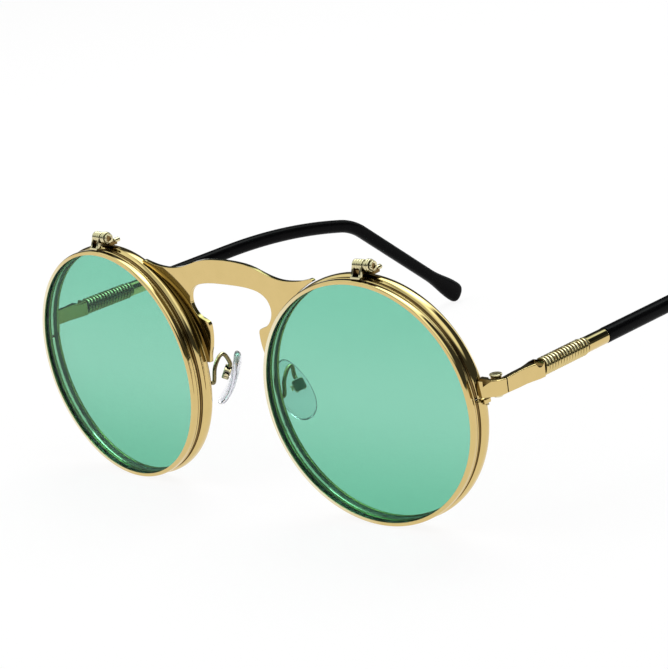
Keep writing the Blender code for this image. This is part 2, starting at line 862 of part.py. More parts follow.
def lowest_point(objects):
    """The lowest point of some objects, in the world."""
    bpy.context.view_layer.update()
    graph = bpy.context.evaluated_depsgraph_get()
    lowest = None
    for obj in objects:
        evaluated = obj.evaluated_get(graph)
        mesh = evaluated.to_mesh()
        for vertex in mesh.vertices:
            point = evaluated.matrix_world @ vertex.co
            if lowest is None or point.z < lowest.z:
                lowest = point
        evaluated.to_mesh_clear()
    return lowest


def stand_up(stand, rims, tips, everything):
    """Leans the assembly until rims and tips touch the ground, and centres its footprint."""
    for _ in range(4):
        front, back = lowest_point(rims), lowest_point(tips)
        stand.rotation_euler.x += math.atan2(front.z - back.z, back.y - front.y)
    bpy.context.view_layer.update()
    graph = bpy.context.evaluated_depsgraph_get()
    corners = []
    for obj in everything:
        evaluated = obj.evaluated_get(graph)
        mesh = evaluated.to_mesh()
        corners += [evaluated.matrix_world @ vertex.co for vertex in mesh.vertices]
        evaluated.to_mesh_clear()
    middle_y = (min(c.y for c in corners) + max(c.y for c in corners)) / 2
    stand.location = (0.0, -middle_y, -min(c.z for c in corners))


# Places that follow from the sizes above
rear_rim_front = flip_rim_depth + rim_gap
rear_rim_back = rear_rim_front + rear_rim_depth
lock_top = temple_height - endpiece_root_height / 2 - lock_slit
tip_start = bar_length + spring_length + ferrule_length + braze_gap
pad_screw_place = pad_box_depth - pad_screw_setback

clear_scene()

gold = make_material("polished gold", (0.80, 0.62, 0.30), 0.12, 1.0)
steel = make_material("gilt screw", (0.72, 0.58, 0.32), 0.22, 1.0)
green = make_material("green lens", (0.20, 0.62, 0.45), 0.03, 0.0, 0.9)
clear = make_material("clear lens", (0.95, 0.97, 0.97), 0.03, 0.0, 1.0)
black = make_material("black tip", (0.008, 0.008, 0.010), 0.30, 0.0)
silicone = make_material("clear silicone", (0.88, 0.90, 0.92), 0.15, 0.0, 0.9)

stand = make_empty("stand", None, (0.0, 0.0, 0.0))
eyes = [
    make_empty(f"eye_{word}", stand, (side * eye_spacing / 2, 0.0, 0.0), (0, 0, side * wrap_angle))
    for word, side in SIDES
]
bpy.context.view_layer.update()

rims, tips = [], []
bridge = make_bridge(stand, eyes)
for (word, side), eye in zip(SIDES, eyes):
    rims.append(make_rear_rim(f"rear_rim_{word}", eye, side))
    rims.append(make_flip_rim(f"flip_rim_{word}", eye))
    make_lens(f"clear_lens_{word}", eye, rear_rim_front + rear_lens_setback, clear)
    make_lens(f"green_lens_{word}", eye, flip_lens_setback, green)
    offset = {"left": flip_hinge_offset_left, "right": flip_hinge_offset_right}[word]
    flip_axis = make_empty(
        f"flip_axis_{word}", eye, (offset, flip_axis_setback, flip_axis_height)
    )
    make_flip_bracket(f"flip_bracket_{word}", flip_axis)
    make_flip_saddle(f"flip_saddle_{word}", flip_axis)
    make_flip_washer(f"flip_washer_{word}", flip_axis)
    make_flip_screw(f"flip_screw_{word}", flip_axis)
    make_lock(f"rim_lock_{word}", eye, side)

    temple_axis = make_empty(
        f"temple_axis_{word}", stand,
        (side * hinge_axis_x, hinge_axis_setback, temple_height), (-temple_pitch, 0.0, 0.0),
    )
    endpiece = make_endpiece(f"endpiece_{word}", temple_axis, side, eye_spacing / 2)
    reach = rear_rim_back + cut_overrun
    cutter = cylinder(rear_rim_radius + braze_gap, -reach, reach, "Y", ring_segments * 2)
    combine(endpiece, make_object(f"endpiece_cut_{word}", cutter, eye), "DIFFERENCE")
    make_hinge_screw(f"hinge_screw_{word}", temple_axis)
    make_temple_bar(f"temple_bar_{word}", temple_axis, side)
    plate_x = side * (bar_standoff + bar_thickness / 2)
    make_tube(
        f"temple_spring_{word}", spring_path(), spring_wire_radius, temple_axis, gold, 1,
        (plate_x, 0.0, 0.0),
    )
    make_ferrule(f"ferrule_{word}", temple_axis, side)
    tips.append(make_tip(f"temple_tip_{word}", temple_axis, side))

    box_place = Vector((side * pad_box_x, pad_box_setback, -pad_box_drop))
    lean = Matrix.Rotation(-pad_lean_angle, 4, "X")
    turn = lean @ Matrix.Rotation(-side * pad_frontal_angle, 4, "Y")
    facing = math.pi - pad_splay_angle if side > 0 else pad_splay_angle
    turn = turn @ Matrix.Rotation(facing, 4, "Z")
    box_axis = make_empty(f"pad_box_axis_{word}", stand, box_place, turn.to_euler())
    pivot = make_empty(f"pad_pivot_{word}", box_axis, (pad_screw_place, 0.0, 0.0))
    make_pad_box(f"pad_box_{word}", box_axis)
    make_pad(f"nose_pad_{word}", pivot, side)
    make_pad_screw(f"pad_screw_{word}", pivot, side)
    eye_matrix = Matrix.Translation(eye.location) @ Matrix.Rotation(side * wrap_angle, 4, "Z")
    make_pad_arm(f"pad_arm_{word}", stand, side, eye_matrix, Matrix.Translation(box_place) @ turn)

gap = least_gap(spring_path(), spring_wire_radius, spring_points_per_turn - 2)
print(f"least gap of a temple spring to itself: {gap * 1000:.2f} mm")

solids = [obj for obj in bpy.data.objects if obj.type != "EMPTY" and not obj.hide_render]
stand_up(stand, rims, tips, solids)
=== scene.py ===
"""Looks of the round flip-up sunglasses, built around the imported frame.

Every piece is made in the same local frames as the solids: the stand (the whole assembly leans
forward a little), the two eyes, the flip hinges, the temple hinges and the nose pad boxes.
All lengths are in metres.
"""

import math

import bmesh
import bpy
from mathutils import Matrix, Vector


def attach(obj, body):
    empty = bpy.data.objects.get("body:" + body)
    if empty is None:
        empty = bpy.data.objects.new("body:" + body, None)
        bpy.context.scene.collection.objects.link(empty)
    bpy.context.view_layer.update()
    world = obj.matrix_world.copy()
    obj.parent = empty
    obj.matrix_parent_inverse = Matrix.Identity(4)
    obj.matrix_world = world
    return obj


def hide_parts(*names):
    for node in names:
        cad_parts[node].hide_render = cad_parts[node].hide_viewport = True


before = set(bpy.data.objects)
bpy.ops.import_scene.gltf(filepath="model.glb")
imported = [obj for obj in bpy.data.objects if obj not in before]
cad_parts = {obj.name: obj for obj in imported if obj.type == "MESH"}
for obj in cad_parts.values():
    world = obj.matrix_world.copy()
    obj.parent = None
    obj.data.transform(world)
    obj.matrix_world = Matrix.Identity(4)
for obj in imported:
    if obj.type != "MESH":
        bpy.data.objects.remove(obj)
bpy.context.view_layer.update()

# Sizes of the solids that the pieces follow
eye_spacing = 0.0735
wrap_angle = math.radians(4.5)
lens_radius = 0.02535
lens_thickness = 0.0015
lens_play = 0.00015
view_radius = 0.0251
flip_rim_radius = 0.0260
flip_rim_depth = 0.00235
flip_lens_setback = 0.0005
rear_rim_front = 0.00275
rear_rim_depth = 0.00255
rear_rim_back = rear_rim_front + rear_rim_depth
rear_rim_radius = 0.02635
lock_top = 0.0027
rear_lens_setback = 0.00055
flip_axis_offsets = {1: 0.0019, -1: -0.0009}
flip_axis_setback = 0.0026
flip_axis_height = 0.0285
bridge_front, bridge_middle, bridge_back = 0.0026, 0.0031, 0.0036
braze_gap = 0.0002
turning_play = 0.00015
hinge_bore = 0.0005
pin_radius = 0.0004
hinge_axis_x = 0.0642
hinge_axis_setback = 0.0086
temple_height = 0.00485
temple_pitch = math.radians(1.45)
plate_standoff = 0.0020
bar_length = 0.0108
spring_length = 0.0145
ferrule_length = 0.0066
tip_start = 0.0321
core_in_tip = 0.020
pad_box_depth = 0.0016
pad_box_half = 0.0013
pad_pivot_depth = 0.0008
pad_box_x = 0.01157
pad_tilt, pad_splay, pad_facing = (math.radians(angle) for angle in (-5.5, 29.6, 37))

# The lean of the whole assembly and where it stands
stand_lean = math.radians(3.6255980270)
stand = Matrix.Translation((0.0, -0.0741144, 0.0261144)) @ Matrix.Rotation(stand_lean, 4, "X")


def eye_frame(side):
    place = Matrix.Translation((side * eye_spacing / 2, 0.0, 0.0))
    return stand @ place @ Matrix.Rotation(side * wrap_angle, 4, "Z")


def flip_frame(side):
    place = (flip_axis_offsets[side], flip_axis_setback, flip_axis_height)
    return eye_frame(side) @ Matrix.Translation(place)


def temple_frame(side):
    place = Matrix.Translation((side * hinge_axis_x, hinge_axis_setback, temple_height))
    return stand @ place @ Matrix.Rotation(-temple_pitch, 4, "X")


def bar_frame(side):
    """The temple's frame moved out to the middle of its bar, spring and tip."""
    return temple_frame(side) @ Matrix.Translation((side * plate_standoff, 0.0, 0.0))


def box_frame(side):
    facing = math.pi - pad_facing if side > 0 else pad_facing
    turn = Matrix.Rotation(pad_tilt, 4, "X") @ Matrix.Rotation(-side * pad_splay, 4, "Y")
    turn = turn @ Matrix.Rotation(facing, 4, "Z")
    return stand @ Matrix.Translation((side * pad_box_x, 0.00827, -0.0012)) @ turn


def pivot_frame(side):
    return box_frame(side) @ Matrix.Translation((pad_pivot_depth, 0.0, 0.0))


# Mesh helpers


def fillet(corners, steps=4):
    """Points of a closed outline of (u, v, radius) corners, with each corner rounded."""
    points = []
    count = len(corners)
    for i, (u, v, radius) in enumerate(corners):
        corner = Vector((u, v))
        before = Vector(corners[i - 1][:2]) - corner
        after = Vector(corners[(i + 1) % count][:2]) - corner
        opening = before.angle(after)
        if radius <= 0 or opening > math.pi * 0.995:
            points.append(corner)
            continue
        cut = radius / math.tan(opening / 2)
        cut = min(cut, 0.48 * min(before.length, after.length))
        radius = cut * math.tan(opening / 2)
        middle = (before.normalized() + after.normalized()).normalized()
        centre = corner + middle * (radius / math.sin(opening / 2))
        start = corner + before.normalized() * cut - centre
        end = corner + after.normalized() * cut - centre
        turn = math.atan2(start.x * end.y - start.y * end.x, start.dot(end))
        for k in range(steps + 1):
            share = turn * k / steps
            c, s = math.cos(share), math.sin(share)
            points.append(centre + Vector((start.x * c - start.y * s, start.x * s + start.y * c)))
    return [(p.x, p.y) for p in points]


def circle(radius, count, u=0.0, v=0.0):
    angles = [math.tau * i / count for i in range(count)]
    return [(u + radius * math.cos(a), v + radius * math.sin(a)) for a in angles]


def inset(outline, distance):
    """An outline moved inwards by a distance, for an outline given counterclockwise."""
    moved = []
    count = len(outline)
    for i in range(count):
        a, b, c = (Vector(outline[j % count]) for j in (i - 1, i, i + 1))
        first, second = (b - a).normalized(), (c - b).normalized()
        normal = Vector((-first.y - second.y, first.x + second.x))
        if normal.length < 1e-6:
            normal = Vector((-first.y, first.x))
        normal.normalize()
        stretch = max(0.5, normal.dot(Vector((-first.y, first.x))))
        moved.append(tuple(b + normal * (distance / stretch)))
    return moved


def lofted(rings, closed_along=False):
    """A bmesh through rings of points; closed_along joins the last ring to the first."""
    builder = bmesh.new()
    made = [[builder.verts.new(point) for point in ring] for ring in rings]
    pairs = list(zip(made, made[1:]))
    if closed_along:
        pairs.append((made[-1], made[0]))
    for near, far in pairs:
        for corners in zip(near, near[1:] + near[:1], far[1:] + far[:1], far):
            builder.faces.new(corners)
    if not closed_along:
        for ring in (made[0], made[-1]):
            builder.faces.new(ring)
    bmesh.ops.recalc_face_normals(builder, faces=builder.faces)
    return builder


def revolved(profile, segments, start=0.0, end=math.tau):
    """A ring from (radius, depth) points turned about the Y axis."""
    whole = end - start > math.tau - 1e-6
    rings = []
    for i in range(segments if whole else segments + 1):
        angle = start + (end - start) * i / segments
        c, s = math.cos(angle), math.sin(angle)
        rings.append([(radius * c, depth, radius * s) for radius, depth in profile])
    return lofted(rings, closed_along=whole)


def prism(outline, low, high, edge, axis, steps=3):
    """An outline made solid between two heights, with rounded edges.

    With axis X the outline lies in YZ, with Y in XZ, and with Z in XY.
    """
    area = sum(
        a[0] * b[1] - a[1] * b[0] for a, b in zip(outline, outline[1:] + outline[:1])
    )
    if area < 0:
        outline = outline[::-1]

    def place(u, v, height):
        point = [u, v]
        point.insert("XYZ".index(axis), height)
        return point

    lower, upper = [], []
    for k in range(steps + 1):
        angle = math.pi / 2 * k / steps
        distance, depth = edge * (1 - math.sin(angle)), edge * (1 - math.cos(angle))
        shape = inset(outline, distance) if distance > 0 else outline
        lower.append([place(u, v, low + depth) for u, v in shape])
        upper.insert(0, [place(u, v, high - depth) for u, v in shape])
    return lofted(lower + upper)


def rod(radius, low, high, edge, axis, count=48, u=0.0, v=0.0):
    return prism(circle(radius, count, u, v), low, high, edge, axis)


def block(low, high, edge, axis="Z", corner=None):
    """A box with rounded edges all round."""
    order = {"X": (1, 2, 0), "Y": (0, 2, 1), "Z": (0, 1, 2)}[axis]
    (u0, v0, w0), (u1, v1, w1) = ([p[i] for i in order] for p in (low, high))
    radius = edge * 1.5 if corner is None else corner
    outline = fillet([(u0, v0, radius), (u1, v0, radius), (u1, v1, radius), (u0, v1, radius)])
    return prism(outline, w0, w1, edge, axis)


def add_object(name, data):
    obj = bpy.data.objects.new(name, data)
    bpy.context.scene.collection.objects.link(obj)
    return obj


def make_mesh(name, builder, for_boolean=False):
    mesh = bpy.data.meshes.new(name)
    bmesh.ops.remove_doubles(builder, verts=builder.verts, dist=1e-7)
    if for_boolean:
        bmesh.ops.triangulate(builder, faces=builder.faces)
    builder.to_mesh(mesh)
    builder.free()
    mesh.shade_smooth()
    return mesh


def add_piece(name, builder, matrix, material, body, nodes, cuts=(), joins=(), flat=True):
    """A piece from a bmesh, with others joined on and cut out, riding on a body."""
    obj = add_object(name, make_mesh(name, builder, bool(cuts or joins)))
    helpers = []
    for kind, builders in (("UNION", joins), ("DIFFERENCE", cuts)):
        for i, other in enumerate(builders):
            helper_name = f"{name}_{kind.lower()}_{i}"
            helper = add_object(helper_name, make_mesh(helper_name, other, True))
            helper.hide_render = True
            modifier = obj.modifiers.new(kind, "BOOLEAN")
            modifier.operation = kind
            modifier.solver = "EXACT"
            modifier.object = helper
            helpers.append(helper)
    if helpers:
        graph = bpy.context.evaluated_depsgraph_get()
        baked = bpy.data.meshes.new_from_object(obj.evaluated_get(graph))
        obj.modifiers.clear()
        obj.data = baked
        for helper in helpers:
            bpy.data.objects.remove(helper, do_unlink=True)
        baked.shade_smooth()
        baked.set_sharp_from_angle(angle=math.radians(40))
    if flat:
        weighted = obj.modifiers.new("weighted normals", "WEIGHTED_NORMAL")
        weighted.keep_sharp = True
    obj.data.materials.clear()
    obj.data.materials.append(material)
    obj.data.transform(matrix)
    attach(obj, body)
    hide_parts(*nodes)
    return obj


def shade(obj, matrix, material, test):
    """One more material, on the faces for which test(centre, normal) in the piece's own frame."""
    number = len(obj.data.materials)
    obj.data.materials.append(material)
    back = matrix.inverted()
    for face in obj.data.polygons:
        if test(back @ face.center, (back.to_3x3() @ face.normal).normalized()):
            face.material_index = number


def faces_axis(centre, normal):
    """Whether a face of a ring about the Y axis looks inwards."""
    radial = Vector((centre.x, 0.0, centre.z)).normalized()
    return normal.dot(radial) < -0.4


def smooth_through(places, count):
    """Points at even steps of parameter on a smooth curve through a few places."""
    extended = [places[0] * 2 - places[1], *places, places[-1] * 2 - places[-2]]
    spans = len(places) - 1
    points = []
    for i in range(count):
        at = spans * i / (count - 1)
        index = min(int(at), spans - 1)
        t = at - index
        a, b, c, d = extended[index:index + 4]
        points.append(
            (b * 2 + (c - a) * t + (a * 2 - b * 5 + c * 4 - d) * t ** 2
             + (b * 3 - a - c * 3 + d) * t ** 3) / 2
        )
    return points


def tube(points, radius, sides, dome_rings=0):
    """A round tube along points, carried without twist; dome_rings makes its ends domed."""
    directions = []
    for i in range(len(points)):
        before, after = points[max(0, i - 1)], points[min(len(points) - 1, i + 1)]
        directions.append((after - before).normalized())
    across = directions[0].orthogonal().normalized()
    domes = [math.pi / 2 * k / (dome_rings + 1) for k in range(1, dome_rings + 1)]
    rings = []

    def add_ring(centre, direction, size):
        up = direction.cross(across)
        rings.append([centre + (across * c + up * s) * size for c, s in circle(1.0, sides)])

    for i, (point, direction) in enumerate(zip(points, directions)):
        if i:
            across = (across - direction * across.dot(direction)).normalized()
        else:
            for angle in domes:
                centre = point - direction * radius * math.cos(angle)
                add_ring(centre, direction, radius * math.sin(angle))
        add_ring(point, direction, radius)
    for angle in reversed(domes):
        centre = point + direction * radius * math.cos(angle)
        add_ring(centre, direction, radius * math.sin(angle))
    return lofted(rings)


# Materials


class Graph:
    """A node tree, with short ways to add nodes whose inputs are linked or set."""

    def __init__(self, tree):
        self.nodes, self.links = tree.nodes, tree.links

    def feed(self, name, inputs):
        """Links each input of a named node to a socket, or sets it to a plain value."""
        for key, value in inputs.items():
            socket = self.nodes[name].inputs[key]
            if isinstance(value, bpy.types.NodeSocket):
                self.links.new(value, socket)
            else:
                socket.default_value = value

    def add(self, kind, inputs, output=0, **settings):
        node = self.nodes.new(f"ShaderNode{kind}")
        for name, value in settings.items():
            setattr(node, name, value)
        self.feed(node.name, inputs)
        return node.outputs[output]

    def math(self, operation, *sources, **settings):
        return self.add("Math", dict(enumerate(sources)), operation=operation, **settings)

    def remap(self, source, low, high, to_low, to_high, interpolation="LINEAR"):
        inputs = {
            "Value": source, "From Min": low, "From Max": high, "To Min": to_low, "To Max": to_high,
        }
        return self.add("MapRange", inputs, "Result", interpolation_type=interpolation)

    def facing(self, source, direction):
        inputs = {0: source, 1: direction}
        return self.add("VectorMath", inputs, "Value", operation="DOT_PRODUCT")

    def mix(self, share, first, second):
        return self.add("MixShader", {0: share, 1: first, 2: second})

    def rays(self, kind):
        return self.add("LightPath", {}, f"Is {kind} Ray")

    def noise(self, scale, detail, rough=0.5):
        place = self.add("TexCoord", {}, "Object")
        inputs = {"Vector": place, "Scale": scale, "Detail": detail, "Roughness": rough}
        return self.add("TexNoise", inputs, "Fac")

    def ranged(self, source, low, high):
        """The middle part of a noise, from low to high."""
        return self.remap(source, 0.3, 0.7, low, high)

    def ramp(self, source, stops, interpolation="LINEAR"):
        """A colour between stops of (position, colour)."""
        node = self.nodes.new("ShaderNodeValToRGB")
        node.color_ramp.interpolation = interpolation
        elements = node.color_ramp.elements
        elements[0].position, elements[-1].position = stops[0][0], stops[-1][0]
        for stop in stops[1:-1]:
            elements.new(stop[0])
        for element, stop in zip(elements, stops):
            element.color = (*stop[1], 1.0)
        self.feed(node.name, {"Fac": source})
        return node.outputs["Color"]

    def blended(self, source, low, high, reflected_shade=None):
        """A colour between two, and if given a third, darker one that other shiny surfaces see in
        it: painted shade between shiny parts.
        """
        stops = [(0.3, low), (0.7, high)]
        if reflected_shade:
            stops.append((0.98, reflected_shade))
            shiny = self.math(
                "SUBTRACT", self.rays("Glossy"), self.rays("Transmission"), use_clamp=True
            )
            source = self.math("ADD", source, shiny)
        return self.ramp(source, stops)

    def bumped(self, source, strength, distance):
        inputs = {"Height": source, "Strength": strength, "Distance": distance}
        return self.add("Bump", inputs, "Normal")

    def sided(self, source):
        """A value from 0.3 to 0.7 towards the wearer's right of a piece, slightly clouded; the
        sided golds place their painted light and shade with it.
        """
        along = self.facing(self.add("TexCoord", {}, "Generated"), (-1.96, 0.0, -0.34))
        turned = self.remap(along, -1.0, -0.4, 0.3, 0.7)
        return self.math("ADD", turned, self.ranged(source, -0.02, 0.02))


def new_material(name):
    material = bpy.data.materials.new(name)
    material.use_nodes = True
    return material, Graph(material.node_tree)


def make_gold(name, low, high, roughness, wave, sided=False):
    """Polished plating: a little uneven in tone and gloss, with a faint wave in the surface. Other
    shiny surfaces see a darker copy of it, as painted shade between shiny parts.
    """
    material, graph = new_material(name)
    cloud = graph.noise(260.0, 3.0)
    if sided:
        cloud = graph.sided(cloud)
    reflected_shade = tuple(part * 0.36 for part in low)
    graph.feed("Principled BSDF", {
        "Metallic": 1.0,
        "Base Color": graph.blended(cloud, low, high, reflected_shade),
        "Roughness": graph.ranged(graph.noise(900.0, 4.0, 0.6), *roughness),
        "Normal": graph.bumped(graph.noise(420.0, 1.0), wave, 0.0001),
    })
    return material


def make_lens_material(name, bottom, middle, top):
    """Clear or tinted plastic, a little deeper in tone towards its bottom and its top."""
    material, graph = new_material(name)
    height = graph.add("SeparateXYZ", {"Vector": graph.add("TexCoord", {}, "Object")}, "Z")
    share = graph.remap(height, 0.0, lens_radius * 2, 0.0, 1.0)
    graph.feed("Principled BSDF", {
        "Base Color": graph.ramp(share, ((0.0, bottom), (0.55, middle), (1.0, top)), "EASE"),
        "Roughness": 0.0, "IOR": 1.22, "Transmission Weight": 1.0,
    })
    return material


def make_plastic(name, low, high, cloud, haze, gloss, inputs, grain=0.0):
    """Plastic clouded between two colours, with an uneven gloss and perhaps a fine grain."""
    material, graph = new_material(name)
    graph.feed("Principled BSDF", {
        "Base Color": graph.blended(graph.noise(*cloud), low, high),
        "Roughness": graph.ranged(graph.noise(*haze), *gloss),
        **inputs,
    })
    if grain:
        bump = graph.bumped(graph.noise(grain, 2.0), 0.08, 0.00002)
        graph.feed("Principled BSDF", {"Normal": bump})
    return material


gold = make_gold("polished_gold", (0.665, 0.500, 0.208), (0.695, 0.522, 0.222), (0.05, 0.08), 0.015)
# A dim copy of the gold, as painted shade on the inner sides of the temples and coils, and on the
# bridge's tops and its edges beside the rims
painted_shade_dim_gold = make_gold("painted_shade_dim_gold", (0.30, 0.265, 0.095), (0.36, 0.315, 0.12), (0.07, 0.12), 0.015)
spring_gold = make_gold("spring_gold", (0.62, 0.49, 0.20), (0.70, 0.55, 0.24), (0.07, 0.12), 0.02)
screw_gold = make_gold("screw_gold", (0.72, 0.64, 0.38), (0.80, 0.71, 0.44), (0.28, 0.38), 0.05)
# Pale gold: the flip hinges' own colour, and a painted highlight on the tops of the coils, the pad
# boxes and the pad arms
pale_gold_and_painted_highlight = make_gold("pale_gold", (0.68, 0.60, 0.35), (0.74, 0.66, 0.40), (0.10, 0.18), 0.03)
# A dark copy of the gold, as painted shade in recesses, slots and gaps and between parts
painted_shade_dark_gold = make_gold("painted_shade_dark_gold", (0.16, 0.10, 0.03), (0.22, 0.14, 0.05), (0.12, 0.20), 0.03)
# A dark copy of the gold, as painted shade on the whole of each pad arm and on the top of each
# ferrule
painted_shade_arm_metal = make_gold("painted_shade_arm_metal", (0.20, 0.165, 0.07), (0.26, 0.215, 0.10), (0.05, 0.09), 0.03)
# The flip rims' front faces, paler towards the wearer's right: a painted highlight
painted_highlight_face_gold = make_gold(
    "painted_highlight_face_gold", (0.68, 0.511, 0.215), (0.86, 0.79, 0.57), (0.05, 0.08), 0.02, True
)
# The rims' inner walls, darker than the gold and darkest towards the wearer's left: painted shade
painted_shade_wall_gold = make_gold(
    "painted_shade_wall_gold", (0.045, 0.04, 0.018), (0.32, 0.28, 0.11), (0.05, 0.08), 0.02, True
)
# The rear rims' front inner corners: a painted highlight towards the wearer's right, fading to
# painted shade towards the left
painted_highlight_shade_gold = make_gold(
    "painted_highlight_shade_gold", (0.13, 0.115, 0.045), (0.88, 0.86, 0.70), (0.08, 0.12), 0.02, True
)
# A dark grey copy of the gold, as painted shade on the pad boxes
painted_shade_box_metal = make_gold("shaded_gold", (0.12, 0.12, 0.10), (0.18, 0.175, 0.15), (0.10, 0.16), 0.06)
green = make_lens_material(
    "green_tint", (0.160, 0.525, 0.355), (0.262, 0.625, 0.468), (0.215, 0.590, 0.430)
)
clear = make_lens_material(
    "clear_plastic", (0.97, 0.99, 0.98), (0.98, 0.99, 0.985), (0.98, 0.99, 0.985)
)

# The ground edge of a lens, coloured near black as painted shade for the dark look it has from
# inside the plastic
edge_look = ((700.0, 3.0), (2500.0, 2.0), (0.45, 0.60), {"IOR": 1.5})
green_edge = make_plastic(
    "green_lens_edge", (0.003, 0.012, 0.007), (0.006, 0.020, 0.012), *edge_look
)
clear_edge = make_plastic("clear_lens_edge", (0.05, 0.09, 0.06), (0.08, 0.13, 0.09), *edge_look)

# Satin acetate, and clear silicone with a soft haze; the silicone's edge is a little darker, as
# painted shade
black = make_plastic(
    "black_acetate", (0.0015, 0.0015, 0.002), (0.003, 0.0028, 0.003),
    (180.0, 3.0), (1200.0, 4.0, 0.6), (0.24, 0.34),
    {"IOR": 1.45, "Specular IOR Level": 0.035}, grain=5200.0,
)
pad_look = (
    (500.0, 2.0), (1500.0, 3.0), (0.05, 0.10), {"IOR": 1.41, "Transmission Weight": 0.96}
)
silicone = make_plastic("clear_silicone", (0.86, 0.86, 0.91), (0.91, 0.91, 0.95), *pad_look)
silicone_painted_shade_edge = make_plastic("silicone_painted_shade_edge", (0.76, 0.76, 0.83), (0.82, 0.82, 0.88), *pad_look)


# Rims and lenses


def rim_profile(front, depth, lens_setback, lip, outside):
    """A rim's cross-section, with a seat for its lens; outside is its outer contour."""
    back = front + depth
    seat_front = front + lens_setback - lens_play
    seat_back = front + lens_setback + lens_thickness + lens_play
    seat_radius = lens_radius + lens_play
    corners = [(view_radius, front - lip, 0.00008)]
    if lip:
        lip_radius = view_radius + 0.0004
        corners += [(lip_radius, front - lip, 0.0), (lip_radius, front, 0.0)]
    corners += [
        *outside,
        (view_radius, back, 0.00022),
        (view_radius, seat_back, 0.0),
        (seat_radius, seat_back, 0.0),
        (seat_radius, seat_front, 0.0),
        (view_radius, seat_front, 0.0),
    ]
    return fillet(corners)


def crown(radius, front, back, front_fall, back_fall):
    """The outer wall of a rim, rounded down towards its front and its back."""
    points = []
    for i in range(21):
        across = i / 10 - 1
        fall = front_fall if across < 0 else back_fall
        rounding = 0.00008 if i in (0, 20) else 0.0
        depth = front + (back - front) * i / 20
        points.append((radius - fall * abs(across) ** 2.4, depth, rounding))
    return points


def add_rims(word, side):
    eye = eye_frame(side)
    r = flip_rim_radius
    groove_depth, bead_start = 0.00022, 0.00152
    outside = [
        *crown(r, 0.0, 0.00132, groove_depth, 0.00006),
        (r - groove_depth, 0.00138, 0.00003),
        (r - groove_depth, 0.00146, 0.00003),
    ]
    for i in range(13):
        back = (flip_rim_depth - bead_start) * i / 12
        outside.append((r - 0.08 * back - 480 * back * back, bead_start + back, 0.0))
    profile = rim_profile(0.0, flip_rim_depth, flip_lens_setback, 0.0, outside)
    shell = add_piece(
        f"flip_rim_shell_{word}", revolved(profile, 240), eye, gold,
        f"flip_{word}", [f"flip_rim_{word}"],
    )
    # Painted shade on the inner walls, and a painted highlight on the front face
    shade(shell, eye, painted_shade_wall_gold, faces_axis)
    shade(shell, eye, painted_highlight_face_gold, lambda centre, normal: normal.y < -0.5 and centre.y < 0.0004)
    r = rear_rim_radius
    outside = crown(r, rear_rim_front, rear_rim_back, 0.00052, 0.00032)
    profile = rim_profile(rear_rim_front, rear_rim_depth, rear_lens_setback, 0.00028, outside)
    slit = 0.00012
    first = math.asin((lock_top + slit) / r)
    last = math.tau + math.asin(lock_top / r)
    if side < 0:
        first, last = math.pi - last + math.tau, math.pi - first + math.tau
    shell = add_piece(
        f"rear_rim_shell_{word}", revolved(profile, 240, first, last), eye, gold,
        "front", [f"rear_rim_{word}"],
    )

    def is_inner(centre):
        return math.hypot(centre.x, centre.z) < view_radius + 0.0001

    # Painted shade on the inner walls and on the front face that sits behind the flip rim, and a
    # painted highlight on the front inner corner
    shade(shell, eye, painted_shade_wall_gold, faces_axis)
    shade(shell, eye, painted_shade_dark_gold, lambda centre, normal: (
        centre.y < rear_rim_front + 0.00004 and not is_inner(centre)
    ))
    shade(shell, eye, painted_highlight_shade_gold, lambda centre, normal: (
        centre.y < rear_rim_front + 0.0004 and is_inner(centre)
    ))
    for kind, front, material, edge_material, body in (
        ("green", flip_lens_setback, green, green_edge, f"flip_{word}"),
        ("clear", rear_rim_front + rear_lens_setback, clear, clear_edge, "front"),
    ):
        lens = rod(lens_radius, front, front + lens_thickness, 0.00008, "Y", 240)
        plate = add_piece(
            f"{kind}_lens_plate_{word}", lens, eye, material,
            body, [f"{kind}_lens_{word}"],
        )
        # Painted shade: the lens's edge in a near-black material
        shade(plate, eye, edge_material, lambda centre, normal: abs(normal.y) < 0.999)


# Bridge

# Half the bridge's outline from its middle, along the top to the tip of the wing, back inside
# the rim to the foot of the leg, and up round the nose opening, as shares of half the eye
# spacing and of the rear rim's radius
bridge_outline_shares = (
    (0.000, 0.995), (0.090, 0.990), (0.170, 0.978), (0.235, 0.957), (0.295, 0.928),
    (0.355, 0.903), (0.420, 0.886), (0.490, 0.883), (0.570, 0.894), (0.635, 0.915),
    (0.660, 0.924), (0.677, 0.914), (0.674, 0.889), (0.780, 0.720), (0.620, 0.340),
    (0.560, 0.110), (0.246, 0.110), (0.236, 0.170), (0.216, 0.250), (0.203, 0.330),
    (0.199, 0.400), (0.204, 0.447), (0.230, 0.470), (0.272, 0.496), (0.304, 0.545),
    (0.320, 0.605), (0.317, 0.665), (0.296, 0.718), (0.252, 0.760), (0.190, 0.783),
    (0.110, 0.794), (0.000, 0.797),
)


def bridge_outline():
    """The plate's outline on the wearer's left half, with the rim's circle cut out of it."""
    places = [
        Vector((eye_spacing / 2 * x, rear_rim_radius * z)) for x, z in bridge_outline_shares
    ]
    centre = eye_spacing / 2 - math.tan(wrap_angle) * bridge_middle
    cut = rear_rim_radius + braze_gap
    wide = cut / math.cos(wrap_angle)

    def kept(points):
        return [p for p in points if ((p.x - centre) / wide) ** 2 + (p.y / cut) ** 2 >= 1]

    top = kept(smooth_through(places[:13], 97))
    opening = kept(smooth_through(places[16:], 121))
    first = math.atan2(top[-1].y / cut, (top[-1].x - centre) / wide)
    last = math.pi - math.asin(places[16].y / cut)
    arc = []
    for i in range(71):
        angle = first + (last - first) * i / 70
        arc.append(Vector((centre + wide * math.cos(angle), cut * math.sin(angle))))
    return [(p.x, p.y) for p in [*top, *arc, *opening]]


